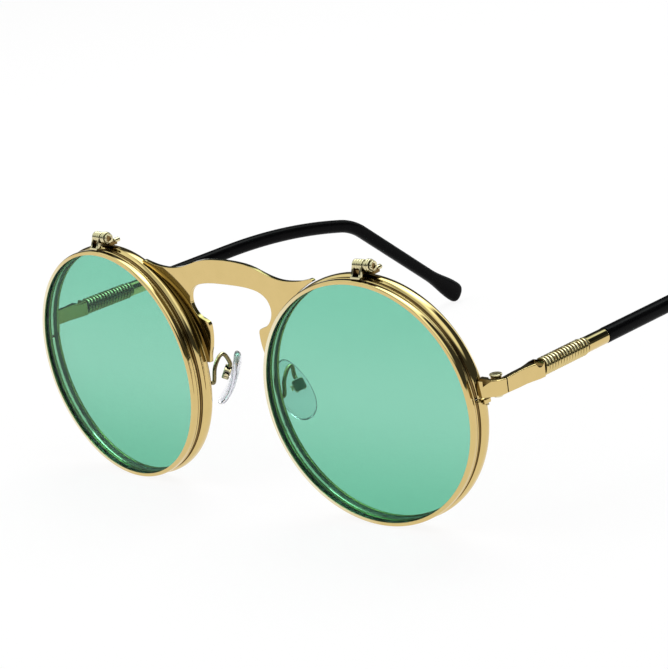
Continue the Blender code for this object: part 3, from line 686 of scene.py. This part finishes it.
def add_bridge():
    half = bridge_outline()
    outline = half + [(-x, z) for x, z in reversed(half[1:-1])]
    plate = prism(outline, bridge_front, bridge_back, 0.00007, "Y", 4)
    bridge = add_piece("bridge_plate", plate, stand, gold, "front", ["bridge"])

    def painted_shade_faces(centre, normal):
        along = Vector((eye_spacing / 2 - abs(centre.x), 0.0, -centre.z))
        return abs(normal.y) < 0.5 and (normal.z > 0.5 or (
            along.length < rear_rim_radius + 0.0006
            and normal.dot(Vector((math.copysign(along.x, centre.x), 0.0, along.z))) > 0
        ))

    # Painted shade on the plate's top edges and on its edges that face into a rim
    shade(bridge, stand, painted_shade_dim_gold, painted_shade_faces)


# Flip hinges


def screw(length_start, head_start, head_height, radius, head_radius, axis, side=1):
    """Parts of a slotted screw: shank, domed head and the cutter of its slot."""
    end = head_start + side * head_height
    shank_span = sorted((length_start, head_start + side * head_height / 2))
    shank = rod(radius, *shank_span, 0.00004, axis, 24)
    edge = min(0.00014, head_height * 0.4)
    head = rod(head_radius, *sorted((head_start, end)), edge, axis, 48)
    slot_half, slot_depth, reach = 0.00013, 0.0002, head_radius * 1.5
    spans = [(-reach, reach), (-slot_half, slot_half)]
    spans.insert("XYZ".index(axis), sorted((end - side * slot_depth, end + side * 0.001)))
    return shank, head, block(*zip(*spans), 0.00002)


def ribbed_rod(radius, low, high, ribs, depth):
    """A rod along X with rounded ribs round it, like a few turns of fine wire."""
    pitch = (high - low) / ribs
    falls = ((0.12, 0.45), (0.3, 0.1), (0.5, 0.0), (0.7, 0.1), (0.88, 0.45), (1.0, 1.0))
    levels = [(low, radius - depth)]
    for i in range(ribs):
        for share, fall in falls:
            levels.append((low + pitch * (i + share), radius - depth * fall))
    return lofted([[(along, u, v) for u, v in circle(size, 64)] for along, size in levels])


def add_flip_hinge(word, side):
    axis = flip_frame(side)
    half, leg_width = 0.0012, 0.0005
    washer_width, ear_width = 0.0003, 0.0011
    foot_front, foot_back = -0.00225, -0.00115
    foot_low = flip_rim_radius + braze_gap - flip_axis_height
    foot_top = foot_low + 0.00045
    barrel = ribbed_rod(0.00118, -half, half, 4, 0.00014)
    foot = block((-half, foot_front, foot_low), (half, foot_back, foot_top), 0.00009)
    leg = fillet([
        (foot_front, foot_low, 0.00012),
        (foot_front + 0.0006, foot_low, 0.00012),
        (-0.00030, -0.00090, 0.0002),
        (-0.00050, 0.00020, 0.0001),
        (-0.00100, 0.00030, 0.0002),
        (-0.00175, -0.00150, 0.0004),
    ])
    legs = [
        prism(leg, start, start + leg_width, 0.00008, "X") for start in (-half, half - leg_width)
    ]
    web_half = half - 0.0002
    web = block((-web_half, -0.00105, foot_low + 0.0001), (web_half, -0.00065, -0.0007), 0.00002)
    bore = rod(hinge_bore, -0.003, 0.003, 0.0001, "X", 32)
    stirrup = add_piece(
        f"flip_stirrup_{word}", barrel, axis, pale_gold_and_painted_highlight, f"flip_{word}",
        [f"flip_bracket_{word}"], cuts=[bore], joins=[foot, *legs, web],
    )
    # Painted shade in the opening between the stirrup's legs
    shade(stirrup, axis, painted_shade_dark_gold, lambda centre, normal: (
        abs(centre.x) < half - leg_width + 0.00001 and -0.0020 < centre.y < -0.0002
        and foot_top - 0.00002 < centre.z < -0.00055
    ))

    washer_start = half + turning_play
    washer_end = washer_start + washer_width
    ear_start = washer_end + turning_play
    ear_end = ear_start + ear_width
    head_start = ear_end + turning_play
    front = rear_rim_front + 0.00015 - flip_axis_setback
    back = front + 0.0021
    low = rear_rim_radius + braze_gap - flip_axis_height
    top = low + 0.0007
    saddle = block((-half, front, low), (ear_end, back, top), 0.0001)
    ear = fillet([
        (front + 0.0004, low + 0.0001, 0.0002),
        (back, low + 0.0001, 0.0001),
        (back, top, 0.0002),
        (0.0015, top + 0.00012, 0.0003),
        (0.00100, -0.00010, 0.0002),
        (-0.00010, -0.00095, 0.0001),
    ])
    ear_plate = prism(ear, ear_start, ear_end, 0.00008, "X")
    knuckle = ribbed_rod(0.00135, ear_start, ear_end, 2, 0.00016)
    peg = rod(
        0.00050, back - 0.0006, back + 0.0009, 0.00015, "Y", 32,
        ear_end - 0.00045, top + 0.0001,
    )
    bore = rod(hinge_bore, ear_start - 0.002, ear_end + 0.002, 0.0001, "X", 32)
    base = add_piece(
        f"flip_saddle_block_{word}", saddle, axis, pale_gold_and_painted_highlight, "front",
        [f"flip_saddle_{word}"], cuts=[bore], joins=[ear_plate, knuckle, peg],
    )
    # Painted shade on the saddle block and the low parts joined to it, where they sit behind the
    # rims
    shade(base, axis, painted_shade_dark_gold, lambda centre, normal: (
        centre.z < top + 0.00015 and centre.y < back - 0.0001
    ))
    ring = [(0.0010, washer_start, 0.00008), (0.0010, washer_end, 0.00008),
            (hinge_bore, washer_end, 0.0), (hinge_bore, washer_start, 0.0)]
    washer = revolved(fillet(ring), 48)
    bmesh.ops.rotate(washer, matrix=Matrix.Rotation(-math.pi / 2, 3, "Z"), verts=washer.verts)
    add_piece(
        f"flip_washer_ring_{word}", washer, axis, screw_gold, "front",
        [f"flip_washer_{word}"],
    )
    shank, head, slot = screw(-half, head_start, 0.0005, pin_radius, 0.00105, "X")
    socket_radius = 0.0005
    socket = rod(socket_radius, head_start + 0.0002, head_start + 0.001, 0.00004, "X", 32)
    pin = add_piece(
        f"flip_screw_slotted_{word}", shank, axis, pale_gold_and_painted_highlight, "front",
        [f"flip_screw_{word}"], cuts=[slot, socket], joins=[head],
    )
    # Painted shade inside the screw head's socket
    shade(pin, axis, painted_shade_dark_gold, lambda centre, normal: (
        math.hypot(centre.y, centre.z) < socket_radius and centre.x > head_start
    ))


# Endpieces, hinges and locks


def rounded_section(centre, direction, thickness, height, corner, steps=4):
    """An upright rounded rectangle across a plate that runs along a direction in plan."""
    across = Vector((direction[1], -direction[0], 0.0))
    half_t, half_h = thickness / 2, height / 2
    radius = min(corner, half_t * 0.98, half_h * 0.98)
    outline = fillet([
        (-half_t, -half_h, radius), (half_t, -half_h, radius),
        (half_t, half_h, radius), (-half_t, half_h, radius),
    ], steps)
    base = Vector((centre[0], centre[1], 0.0))
    return [base + across * u + Vector((0.0, 0.0, v)) for u, v in outline]


def barrel_parts(side, span, leaf_start, leaf_end):
    """A barrel of the temple hinge, and its leaf."""
    barrel = rod(0.0011, *span, 0.00008, "Z", 48)
    low_x, high_x = sorted((0.0, side * plate_standoff))
    low_y, high_y = sorted((leaf_start, leaf_end))
    leaf = block((low_x, low_y, span[0]), (high_x, high_y, span[1]), 0.00004)
    return [barrel, leaf]


middle_span = (-0.00055, 0.00055)
upper_span = (0.0007, 0.00155)
lower_span = (-0.00155, -0.0007)
seam = 0.00015


def add_endpiece(word, side):
    axis = temple_frame(side)
    eye = eye_frame(side)
    bend = 0.0026
    thickness, root_thickness = 0.0014, 0.0026
    end_height, root_height = 0.0030, 0.0035
    corner = 0.00018
    end_y = -seam
    bend_x = side * (plate_standoff - bend)
    root_x = side * (eye_spacing / 2 + rear_rim_radius - 0.0010 - hinge_axis_x)
    rings = [rounded_section(
        (root_x, end_y - bend), (side, 0.0), root_thickness, root_height, corner
    )]
    rim = rod(rear_rim_radius + braze_gap, -0.01, 0.02, 0.0001, "Y", 240)
    bmesh.ops.transform(rim, matrix=axis.inverted() @ eye, verts=rim.verts)
    for i in range(15):
        share = i / 14
        angle = share * math.pi / 2
        centre = (bend_x + side * bend * math.sin(angle), end_y - bend * math.cos(angle))
        direction = (side * math.cos(angle), math.sin(angle))
        height = root_height + (end_height - root_height) * share
        wide = thickness + (root_thickness - thickness) * max(0.0, 1 - share * 3) ** 2
        rings.append(rounded_section(centre, direction, wide, height, corner))
    plate = lofted(rings)
    joins = []
    for span in (lower_span, upper_span):
        joins += barrel_parts(side, span, end_y - 0.0001, end_y - 0.0011)
    bore = rod(hinge_bore, -0.004, 0.004, 0.0001, "Z", 32)
    front = end_y - bend - thickness / 2
    wedge = lofted([
        [(x, front + ahead, low), (x, front + ahead, 0.0022), (x, front + behind, 0.0022)]
        for x, ahead, low, behind in (
            (root_x - side * 0.0006, -0.0008, 0.0001, 0.0010),
            (root_x + side * 0.0036, -0.0001, 0.0008, 0.0012),
        )
    ])
    made = add_piece(
        f"endpiece_plate_{word}", plate, axis, gold, "front",
        [f"endpiece_{word}"], cuts=[rim, bore, wedge], joins=joins,
    )
    # Painted shade on the sloping front faces along the top edge near the rim
    shade(made, axis, painted_shade_dark_gold, lambda centre, normal: (
        abs(centre.x - root_x) < 0.0044 and centre.y < front + 0.0013
        and normal.y < -0.25 and 0.3 < normal.z < 0.95
    ))
    head_start = upper_span[1] + turning_play
    low_end = lower_span[0] - turning_play
    shank, head, slot = screw(low_end - 0.0003, head_start, 0.0004, pin_radius, 0.00128, "Z")
    cap = rod(0.0010, low_end - 0.0008, low_end, 0.00015, "Z", 48)
    add_piece(
        f"hinge_screw_slotted_{word}", shank, axis, screw_gold, "front",
        [f"hinge_screw_{word}"], cuts=[slot], joins=[head, cap],
    )


def add_lock(word, side):
    eye = eye_frame(side)
    near_x, width, depth = rear_rim_radius + braze_gap, 0.0008, 0.0020
    low_x, high_x = sorted((side * near_x, side * (near_x + width)))
    front = rear_rim_front + (rear_rim_depth - depth) / 2
    bottom = lock_top - 0.0010
    lock = block((low_x, front, bottom), (high_x, front + depth, lock_top), 0.00015, "Z", 0.0003)
    u, v = (low_x + high_x) / 2, front + depth / 2
    bore = rod(0.0003, bottom - 0.001, lock_top + 0.001, 0.0001, "Z", 32, u, v)
    add_piece(
        f"rim_lock_block_{word}", lock, eye, gold, "front",
        [f"rim_lock_{word}"], cuts=[bore],
    )
    place = eye @ Matrix.Translation((u, v, 0.0))
    shank, head, slot = screw(lock_top, bottom - turning_play, 0.00025, 0.00022, 0.00038, "Z", -1)
    add_piece(
        f"rim_lock_screw_slotted_{word}", shank, place, screw_gold, "front",
        [f"rim_lock_screw_{word}"], cuts=[slot], joins=[head],
    )


# Temples


def add_temple(word, side):
    hinge = temple_frame(side)
    middle = bar_frame(side)
    body = f"temple_{word}"
    stations = (
        (seam, 0.0014, 0.0030, 0.00014),
        (0.0035, 0.0014, 0.00323, 0.00014),
        (0.0058, 0.0014, 0.00325, 0.00014),
        (0.0075, 0.0020, 0.00330, 0.00020),
        (0.0092, 0.0029, 0.00334, 0.00030),
        (bar_length - 0.00010, 0.0030, 0.0034, 0.00035),
        (bar_length, 0.00285, 0.00325, 0.00035),
    )
    plate_x = side * plate_standoff
    rings = [
        rounded_section((plate_x, y), (0.0, 1.0), thickness, height, corner, 6)
        for y, thickness, height, corner in stations
    ]
    bar = lofted(rings)
    leaf_parts = barrel_parts(side, middle_span, seam + 0.0001, seam + 0.0011)
    core = rod(0.00085, 0.0096, tip_start + core_in_tip, 0.0001, "Y", 24, plate_x, 0.0)
    notch_y, notch_z, notch_radius = 0.0096, 0.0017, 0.00105
    edges = sorted((plate_x + side * 0.003, plate_x - side * 0.0008))
    notch = rod(notch_radius, *edges, 0.0002, "X", 48, notch_y, notch_z)
    bore = rod(hinge_bore, -0.003, 0.003, 0.0001, "Z", 32)
    plate = add_piece(
        f"temple_bar_plate_{word}", bar, hinge, gold, body,
        [f"temple_bar_{word}"], cuts=[notch, bore], joins=[core, *leaf_parts],
    )

    def in_notch(centre, normal):
        from_middle = math.hypot(centre.y - notch_y, centre.z - notch_z)
        return from_middle < notch_radius + 0.00005 and (centre.x - plate_x) * side < 0.0012

    # Painted shade on the inner side of the bar and in its scoop
    shade(plate, hinge, painted_shade_dim_gold, lambda centre, normal: normal.x * side < -0.3)
    shade(plate, hinge, painted_shade_dark_gold, in_notch)

    turns, per_turn = 14.5, 36
    wire, coil, end_gap = 0.00040, 0.00147, 0.0002
    start = bar_length + end_gap + wire
    rise = spring_length - 2 * (end_gap + wire)
    count = int(turns * per_turn)
    points = []
    for i in range(count + 1):
        angle = math.tau * i / per_turn - math.pi / 2
        points.append(Vector((
            coil * math.cos(angle), start + rise * i / count, coil * math.sin(angle)
        )))
    coiled = add_piece(
        f"temple_coil_{word}", tube(points, wire, 12, 2), middle, spring_gold, body,
        [f"temple_spring_{word}"], flat=False,
    )
    # Painted shade on the inner lower half, between the turns and in a band along the inner side,
    # and a painted highlight on the tops of the turns
    shade(coiled, middle, painted_shade_dim_gold, lambda centre, normal: (
        centre.x * side < -0.0003 and centre.z < 0.0007
    ))
    shade(coiled, middle, pale_gold_and_painted_highlight, lambda centre, normal: normal.z > 0.5)
    shade(coiled, middle, painted_shade_dark_gold, lambda centre, normal: (
        abs(normal.y) > 0.5 if centre.z > 0.0008 else
        centre.x * side < -0.0003 and (centre.z > -0.0002 or abs(normal.y) > 0.5)
    ))

    start = bar_length + spring_length
    end = start + ferrule_length
    inner, outer = 0.0010, 0.00165
    profile = fillet([
        (inner, start, 0.0), (outer, start, 0.00025), (outer, end, 0.0002), (inner, end, 0.0),
    ])
    sleeve = add_piece(
        f"ferrule_sleeve_{word}", revolved(profile, 64), middle, gold, body,
        [f"ferrule_{word}"],
    )
    # Painted shade on the top of the ferrule
    shade(sleeve, middle, painted_shade_arm_metal, lambda centre, normal: normal.z > 0.5)
    add_tip(word, middle, body)


tip_width, tip_height, paddle_height = 0.0031, 0.0033, 0.00535
tip_lead, paddle_length, tip_end_length = 0.0003, 0.014, 0.0028


def tip_stations():
    """Stations along a temple tip as (place, angle below level, distance from the start)."""
    place = Vector((0.0, tip_start, 0.0))
    angle = travelled = 0.0
    stations = [(place, angle, travelled)]
    bend_angle = math.radians(25)
    drop = 0.0440
    stretches = (
        (tip_lead, 0.0, 3), (0.0253, 0.0, 12), (0.0405, math.radians(13), 24),
        (0.020 * bend_angle, bend_angle, 20), (drop - paddle_length, 0.0, 14),
        (paddle_length - tip_end_length, 0.0, 12), (tip_end_length, 0.0, 18),
    )
    for length, turn, steps in stretches:
        for k in range(steps):
            step = length / steps
            if length == tip_end_length:
                step = length * (math.sin(math.pi / 2 * (k + 1) / steps)
                                 - math.sin(math.pi / 2 * k / steps))
            angle += turn / steps / 2
            place = place + Vector((0.0, math.cos(angle), -math.sin(angle))) * step
            angle += turn / steps / 2
            travelled += step
            stations.append((place, angle, travelled))
    return stations


def add_tip(word, middle, body):
    stations = tip_stations()
    total = stations[-1][2]
    rings = []
    for place, angle, travelled in stations:
        share = travelled - (total - paddle_length)
        share = min(1.0, max(0.0, share / (paddle_length - tip_end_length)))
        swell = share * share * (3 - 2 * share)
        height = tip_height + (paddle_height - tip_height) * swell
        into = max(0.0, travelled - (total - tip_end_length)) / tip_end_length
        rounding = max(0.0, 1 - (into * 0.985) ** 3.4) ** (1 / 3.4)
        into_start = min(1.0, travelled / tip_lead)
        rounding *= 0.94 + 0.06 * math.sqrt(1 - (1 - into_start) ** 2)
        half_w, half_h = tip_width / 2 * rounding, height / 2 * rounding
        up = Vector((0.0, math.sin(angle), math.cos(angle)))
        ring = []
        for c, s in circle(1.0, 40):
            u = math.copysign(abs(c) ** 0.86, c) * half_w
            v = math.copysign(abs(s) ** 0.86, s) * half_h
            ring.append(place + Vector((u, 0.0, 0.0)) + up * v)
        rings.append(ring)
    bore_end = tip_start + core_in_tip + braze_gap
    bore = rod(0.0010, tip_start - 0.001, bore_end, 0.0001, "Y", 24)
    add_piece(
        f"temple_tip_sleeve_{word}", lofted(rings), middle, black, body,
        [f"temple_tip_{word}"], cuts=[bore], flat=False,
    )


# Nose pads

pad_edge_shares = (
    (0.0, 0.74), (0.05, 0.84), (0.15, 0.92), (0.3, 0.975), (0.5, 1.0),
    (0.7, 0.975), (0.85, 0.92), (0.95, 0.84), (1.0, 0.72),
)


def add_pad(word, side):
    pivot = pivot_frame(side)
    box = box_frame(side)
    face = pad_box_depth - pad_pivot_depth + 0.0003
    length, width, thickness = 0.0138, 0.0068, 0.0015
    centre_y, centre_z, bow = side * 0.0010, -0.00045, 0.0012
    rings = []
    for depth_share, size_share in pad_edge_shares:
        ring = []
        for i in range(64):
            angle = math.tau * i / 64
            taper = 1 - 0.18 * math.sin(angle)
            y = width / 2 * math.cos(angle) * size_share * taper
            z = (length / 2 - (1 - size_share) * width / 2) * math.sin(angle)
            bend = bow * (z / (length / 2)) ** 2
            ring.append((face + thickness * depth_share - bend, y + centre_y, z + centre_z))
        rings.append(ring)
    centre = Vector((0.0, centre_y, centre_z))
    for end in (0, -1):
        for share in (0.6, 0.5, 0.0):
            ring = []
            for x, y, z in rings[end]:
                edge_z, inner_z = z - centre.z, (z - centre.z) * share
                flat = x + bow * (edge_z ** 2 - inner_z ** 2) / (length / 2) ** 2
                ring.append((flat, centre.y + (y - centre.y) * share, centre.z + inner_z))
            rings.insert(0 if end == 0 else len(rings), ring)
    stem_start = -0.00055
    stem = block((stem_start, -0.0004, -0.0007), (face + thickness / 2, 0.0004, 0.0007), 0.0001)
    bore = rod(pin_radius, -0.003, 0.003, 0.00005, "Y", 24)
    pad = add_piece(
        f"nose_pad_oval_{word}", lofted(rings), pivot, silicone, f"pad_{word}",
        [f"nose_pad_{word}"], cuts=[bore], joins=[stem],
    )
    # Painted shade along the pad's edge, for its dark outline
    shade(pad, pivot, silicone_painted_shade_edge, lambda centre, normal: (
        centre.x > face - 0.0012 and abs(normal.x) < 0.75
    ))
    half = pad_box_half
    shell = block((0.0, -half, -half), (pad_box_depth, half, half), 0.00022, "X", 0.0005)
    slot = block((0.0001, -0.00055, -0.003), (0.004, 0.00055, 0.003), 0.00003)
    bore = rod(pin_radius, -0.003, 0.003, 0.00005, "Y", 24, pad_pivot_depth, 0.0)
    # The box is a dark copy of the gold, as painted shade
    made = add_piece(
        f"pad_box_shell_{word}", shell, box, painted_shade_box_metal, "front",
        [f"pad_box_{word}"], cuts=[slot, bore],
    )
    # A painted highlight on the box's top and rounded edges
    shade(made, box, pale_gold_and_painted_highlight, lambda centre, normal: (
        normal.z > 0.3 or max(abs(part) for part in normal) < 0.95
    ))
    head_start = side * (half + turning_play)
    shank, head, cut = screw(-side * half, head_start, 0.0004, 0.0003, 0.0006, "Y", side)
    add_piece(
        f"pad_screw_slotted_{word}", shank, pivot, screw_gold, "front",
        [f"pad_screw_{word}"], cuts=[cut], joins=[head],
    )

    middle_radius = (rear_rim_radius + view_radius) / 2
    drop = 0.0022
    from_stand = stand.inverted()
    eye_local = from_stand @ eye_frame(side)
    box_local = from_stand @ box
    root = eye_local @ Vector((
        -side * math.sqrt(middle_radius ** 2 - drop ** 2), rear_rim_back + braze_gap, -drop
    ))
    arm = 0.00045
    backward = Vector((0.0, arm * 2, 0.0))
    end = box_local @ Vector((pad_pivot_depth, 0.0, half + braze_gap))
    leave = box_local.to_3x3() @ Vector((0.0, 0.0, arm * 2))
    span = end - root
    rise = Vector((0.0, 0.0, length))
    between = [
        root + span * along + rise * up
        for along, up in ((0.30, 0.162), (0.62, 0.270), (0.88, 0.226))
    ]
    points = smooth_through([root, root + backward, *between, end + leave, end], 90)
    # The arm is a dark copy of the gold, as painted shade, with a painted highlight along its top
    made = add_piece(
        f"pad_arm_wire_{word}", tube(points, arm, 20), stand, painted_shade_arm_metal, "front",
        [f"pad_arm_{word}"], flat=False,
    )
    shade(made, stand, pale_gold_and_painted_highlight, lambda centre, normal: normal.z > 0.55)


add_bridge()
for word, side in (("left", 1), ("right", -1)):
    add_rims(word, side)
    add_flip_hinge(word, side)
    add_endpiece(word, side)
    add_lock(word, side)
    add_temple(word, side)
    add_pad(word, side)


# Floor, lamps, world and camera

full_white = (1.0, 1.0, 1.0, 1.0)


def add_floor():
    """A white floor that shows as the background and keeps the shadow of the glasses."""
    reach, floor_level = 12.0, -0.00005
    corners = ((-reach, -reach), (reach, -reach), (reach, reach), (-reach, reach))
    mesh = bpy.data.meshes.new("floor")
    mesh.from_pydata([(x, y, floor_level) for x, y in corners], [], [(0, 1, 2, 3)])
    floor = add_object("floor", mesh)
    material, graph = new_material("white_table")
    graph.feed("Principled BSDF", {
        "Base Color": (0.92, 0.92, 0.92, 1.0), "Roughness": 0.9, "Specular IOR Level": 0.0,
    })
    seen = graph.math("MAXIMUM", graph.rays("Camera"), graph.rays("Glossy"))
    seen = graph.math("MAXIMUM", seen, graph.rays("Transmission"))
    share = graph.math("MULTIPLY", seen, 0.90)
    glow = graph.add("Emission", {"Color": full_white, "Strength": 1.0})
    lit = graph.nodes["Principled BSDF"].outputs["BSDF"]
    graph.feed("Material Output", {"Surface": graph.mix(share, lit, glow)})
    mesh.materials.append(material)


def direction_of(azimuth, elevation):
    """A direction by its azimuth from the back (+Y) towards the wearer's left (+X)."""
    a, e = math.radians(azimuth), math.radians(elevation)
    return Vector((math.sin(a) * math.cos(e), math.cos(a) * math.cos(e), math.sin(e)))


def add_softbox(name, azimuth, elevation, distance, wide, high, radiance):
    """A lamp facing the glasses."""
    lamp = bpy.data.lights.new(name, "AREA")
    lamp.shape = "RECTANGLE"
    lamp.size, lamp.size_y = wide, high
    lamp.energy = radiance * math.pi * wide * high
    obj = add_object(name, lamp)
    away = direction_of(azimuth, elevation)
    obj.location = Vector((0.0, -0.03, 0.03)) + away * distance
    obj.rotation_euler = away.to_track_quat("Z", "Y").to_euler()
    obj.visible_camera = False
    obj.visible_glossy = False


def soft_glow(graph, view, azimuth, elevation, inner, outer, strength):
    """A round soft source in the studio, full within one angle and gone beyond the other."""
    alike = graph.facing(view, direction_of(azimuth, elevation))
    low, high = math.cos(math.radians(outer)), math.cos(math.radians(inner))
    return graph.remap(alike, low, high, 0.0, strength, "SMOOTHSTEP")


def add_world():
    """White to the camera, plain grey to matt surfaces, and a studio to shiny ones."""
    world = bpy.data.worlds.new("studio")
    bpy.context.scene.world = world
    world.use_nodes = True
    graph = Graph(world.node_tree)
    view = graph.add("TexCoord", {}, "Generated")
    x, y, z = (graph.add("SeparateXYZ", {"Vector": view}, axis) for axis in "XYZ")
    low_band = graph.remap(z, 0.0, 0.06, 1.0, 0.05, "SMOOTHSTEP")
    upright = graph.remap(graph.math("ABSOLUTE", x), 0.08, 0.16, 1.6, 0.0, "SMOOTHSTEP")
    strip = graph.math("MULTIPLY", upright, graph.math("GREATER_THAN", y, 0.3))
    level = soft_glow(graph, view, -14, 62, 14, 27, 3.1)
    for source in (
        soft_glow(graph, view, 60, 78, 8, 26, 1.6),
        soft_glow(graph, view, 98, 46, 12, 28, 1.3),
        soft_glow(graph, view, -110, 45, 18, 40, 1.1),
        soft_glow(graph, view, 170, 45, 18, 40, 0.7),
        strip, low_band,
    ):
        level = graph.math("ADD", level, source)
    studio = graph.add("Background", {"Color": (0.92, 1.0, 0.98, 1.0), "Strength": level})
    graph.feed("Background", {"Color": (0.20, 0.20, 0.20, 1.0), "Strength": 1.0})
    ambient = graph.nodes["Background"].outputs[0]
    shiny = graph.mix(graph.rays("Glossy"), ambient, studio)
    seen = graph.math("MAXIMUM", graph.rays("Camera"), graph.rays("Transmission"))
    backdrop = graph.add("Background", {"Color": full_white})
    graph.feed("World Output", {"Surface": graph.mix(seen, shiny, backdrop)})


add_floor()
add_softbox("overhead_softbox", -25, 58, 1.3, 1.0, 0.8, 4.7)
add_softbox("right_softbox", 98, 30, 1.2, 0.5, 0.7, 3.6)
add_softbox("front_softbox", -150, 45, 1.4, 1.2, 0.9, 2.9)
add_world()

# The photograph's view, fitted to both rims
camera_place = Vector((0.34903, -0.40302, 0.160815))
camera_right = Vector((0.733125, 0.672099, -0.103979)).normalized()
camera_up = Vector((-0.099170, 0.256901, 0.961337)).normalized()
camera_back = camera_right.cross(camera_up)
focal_pixels, photo_width = 2390.2, 668.0
lens_data = bpy.data.cameras.new("camera")
lens_data.sensor_fit = "HORIZONTAL"
lens_data.sensor_width = 36.0
lens_data.lens = focal_pixels * lens_data.sensor_width / photo_width
lens_data.clip_start = 0.01
lens_data.clip_end = 100.0
camera = add_object("camera", lens_data)
columns = (camera_right, camera_up, camera_back, camera_place)
camera.matrix_world = Matrix([[*(c[i] for c in columns)] for i in range(3)] + [[0, 0, 0, 1]])
bpy.context.scene.camera = camera
bpy.context.scene.view_settings.view_transform = "Standard"
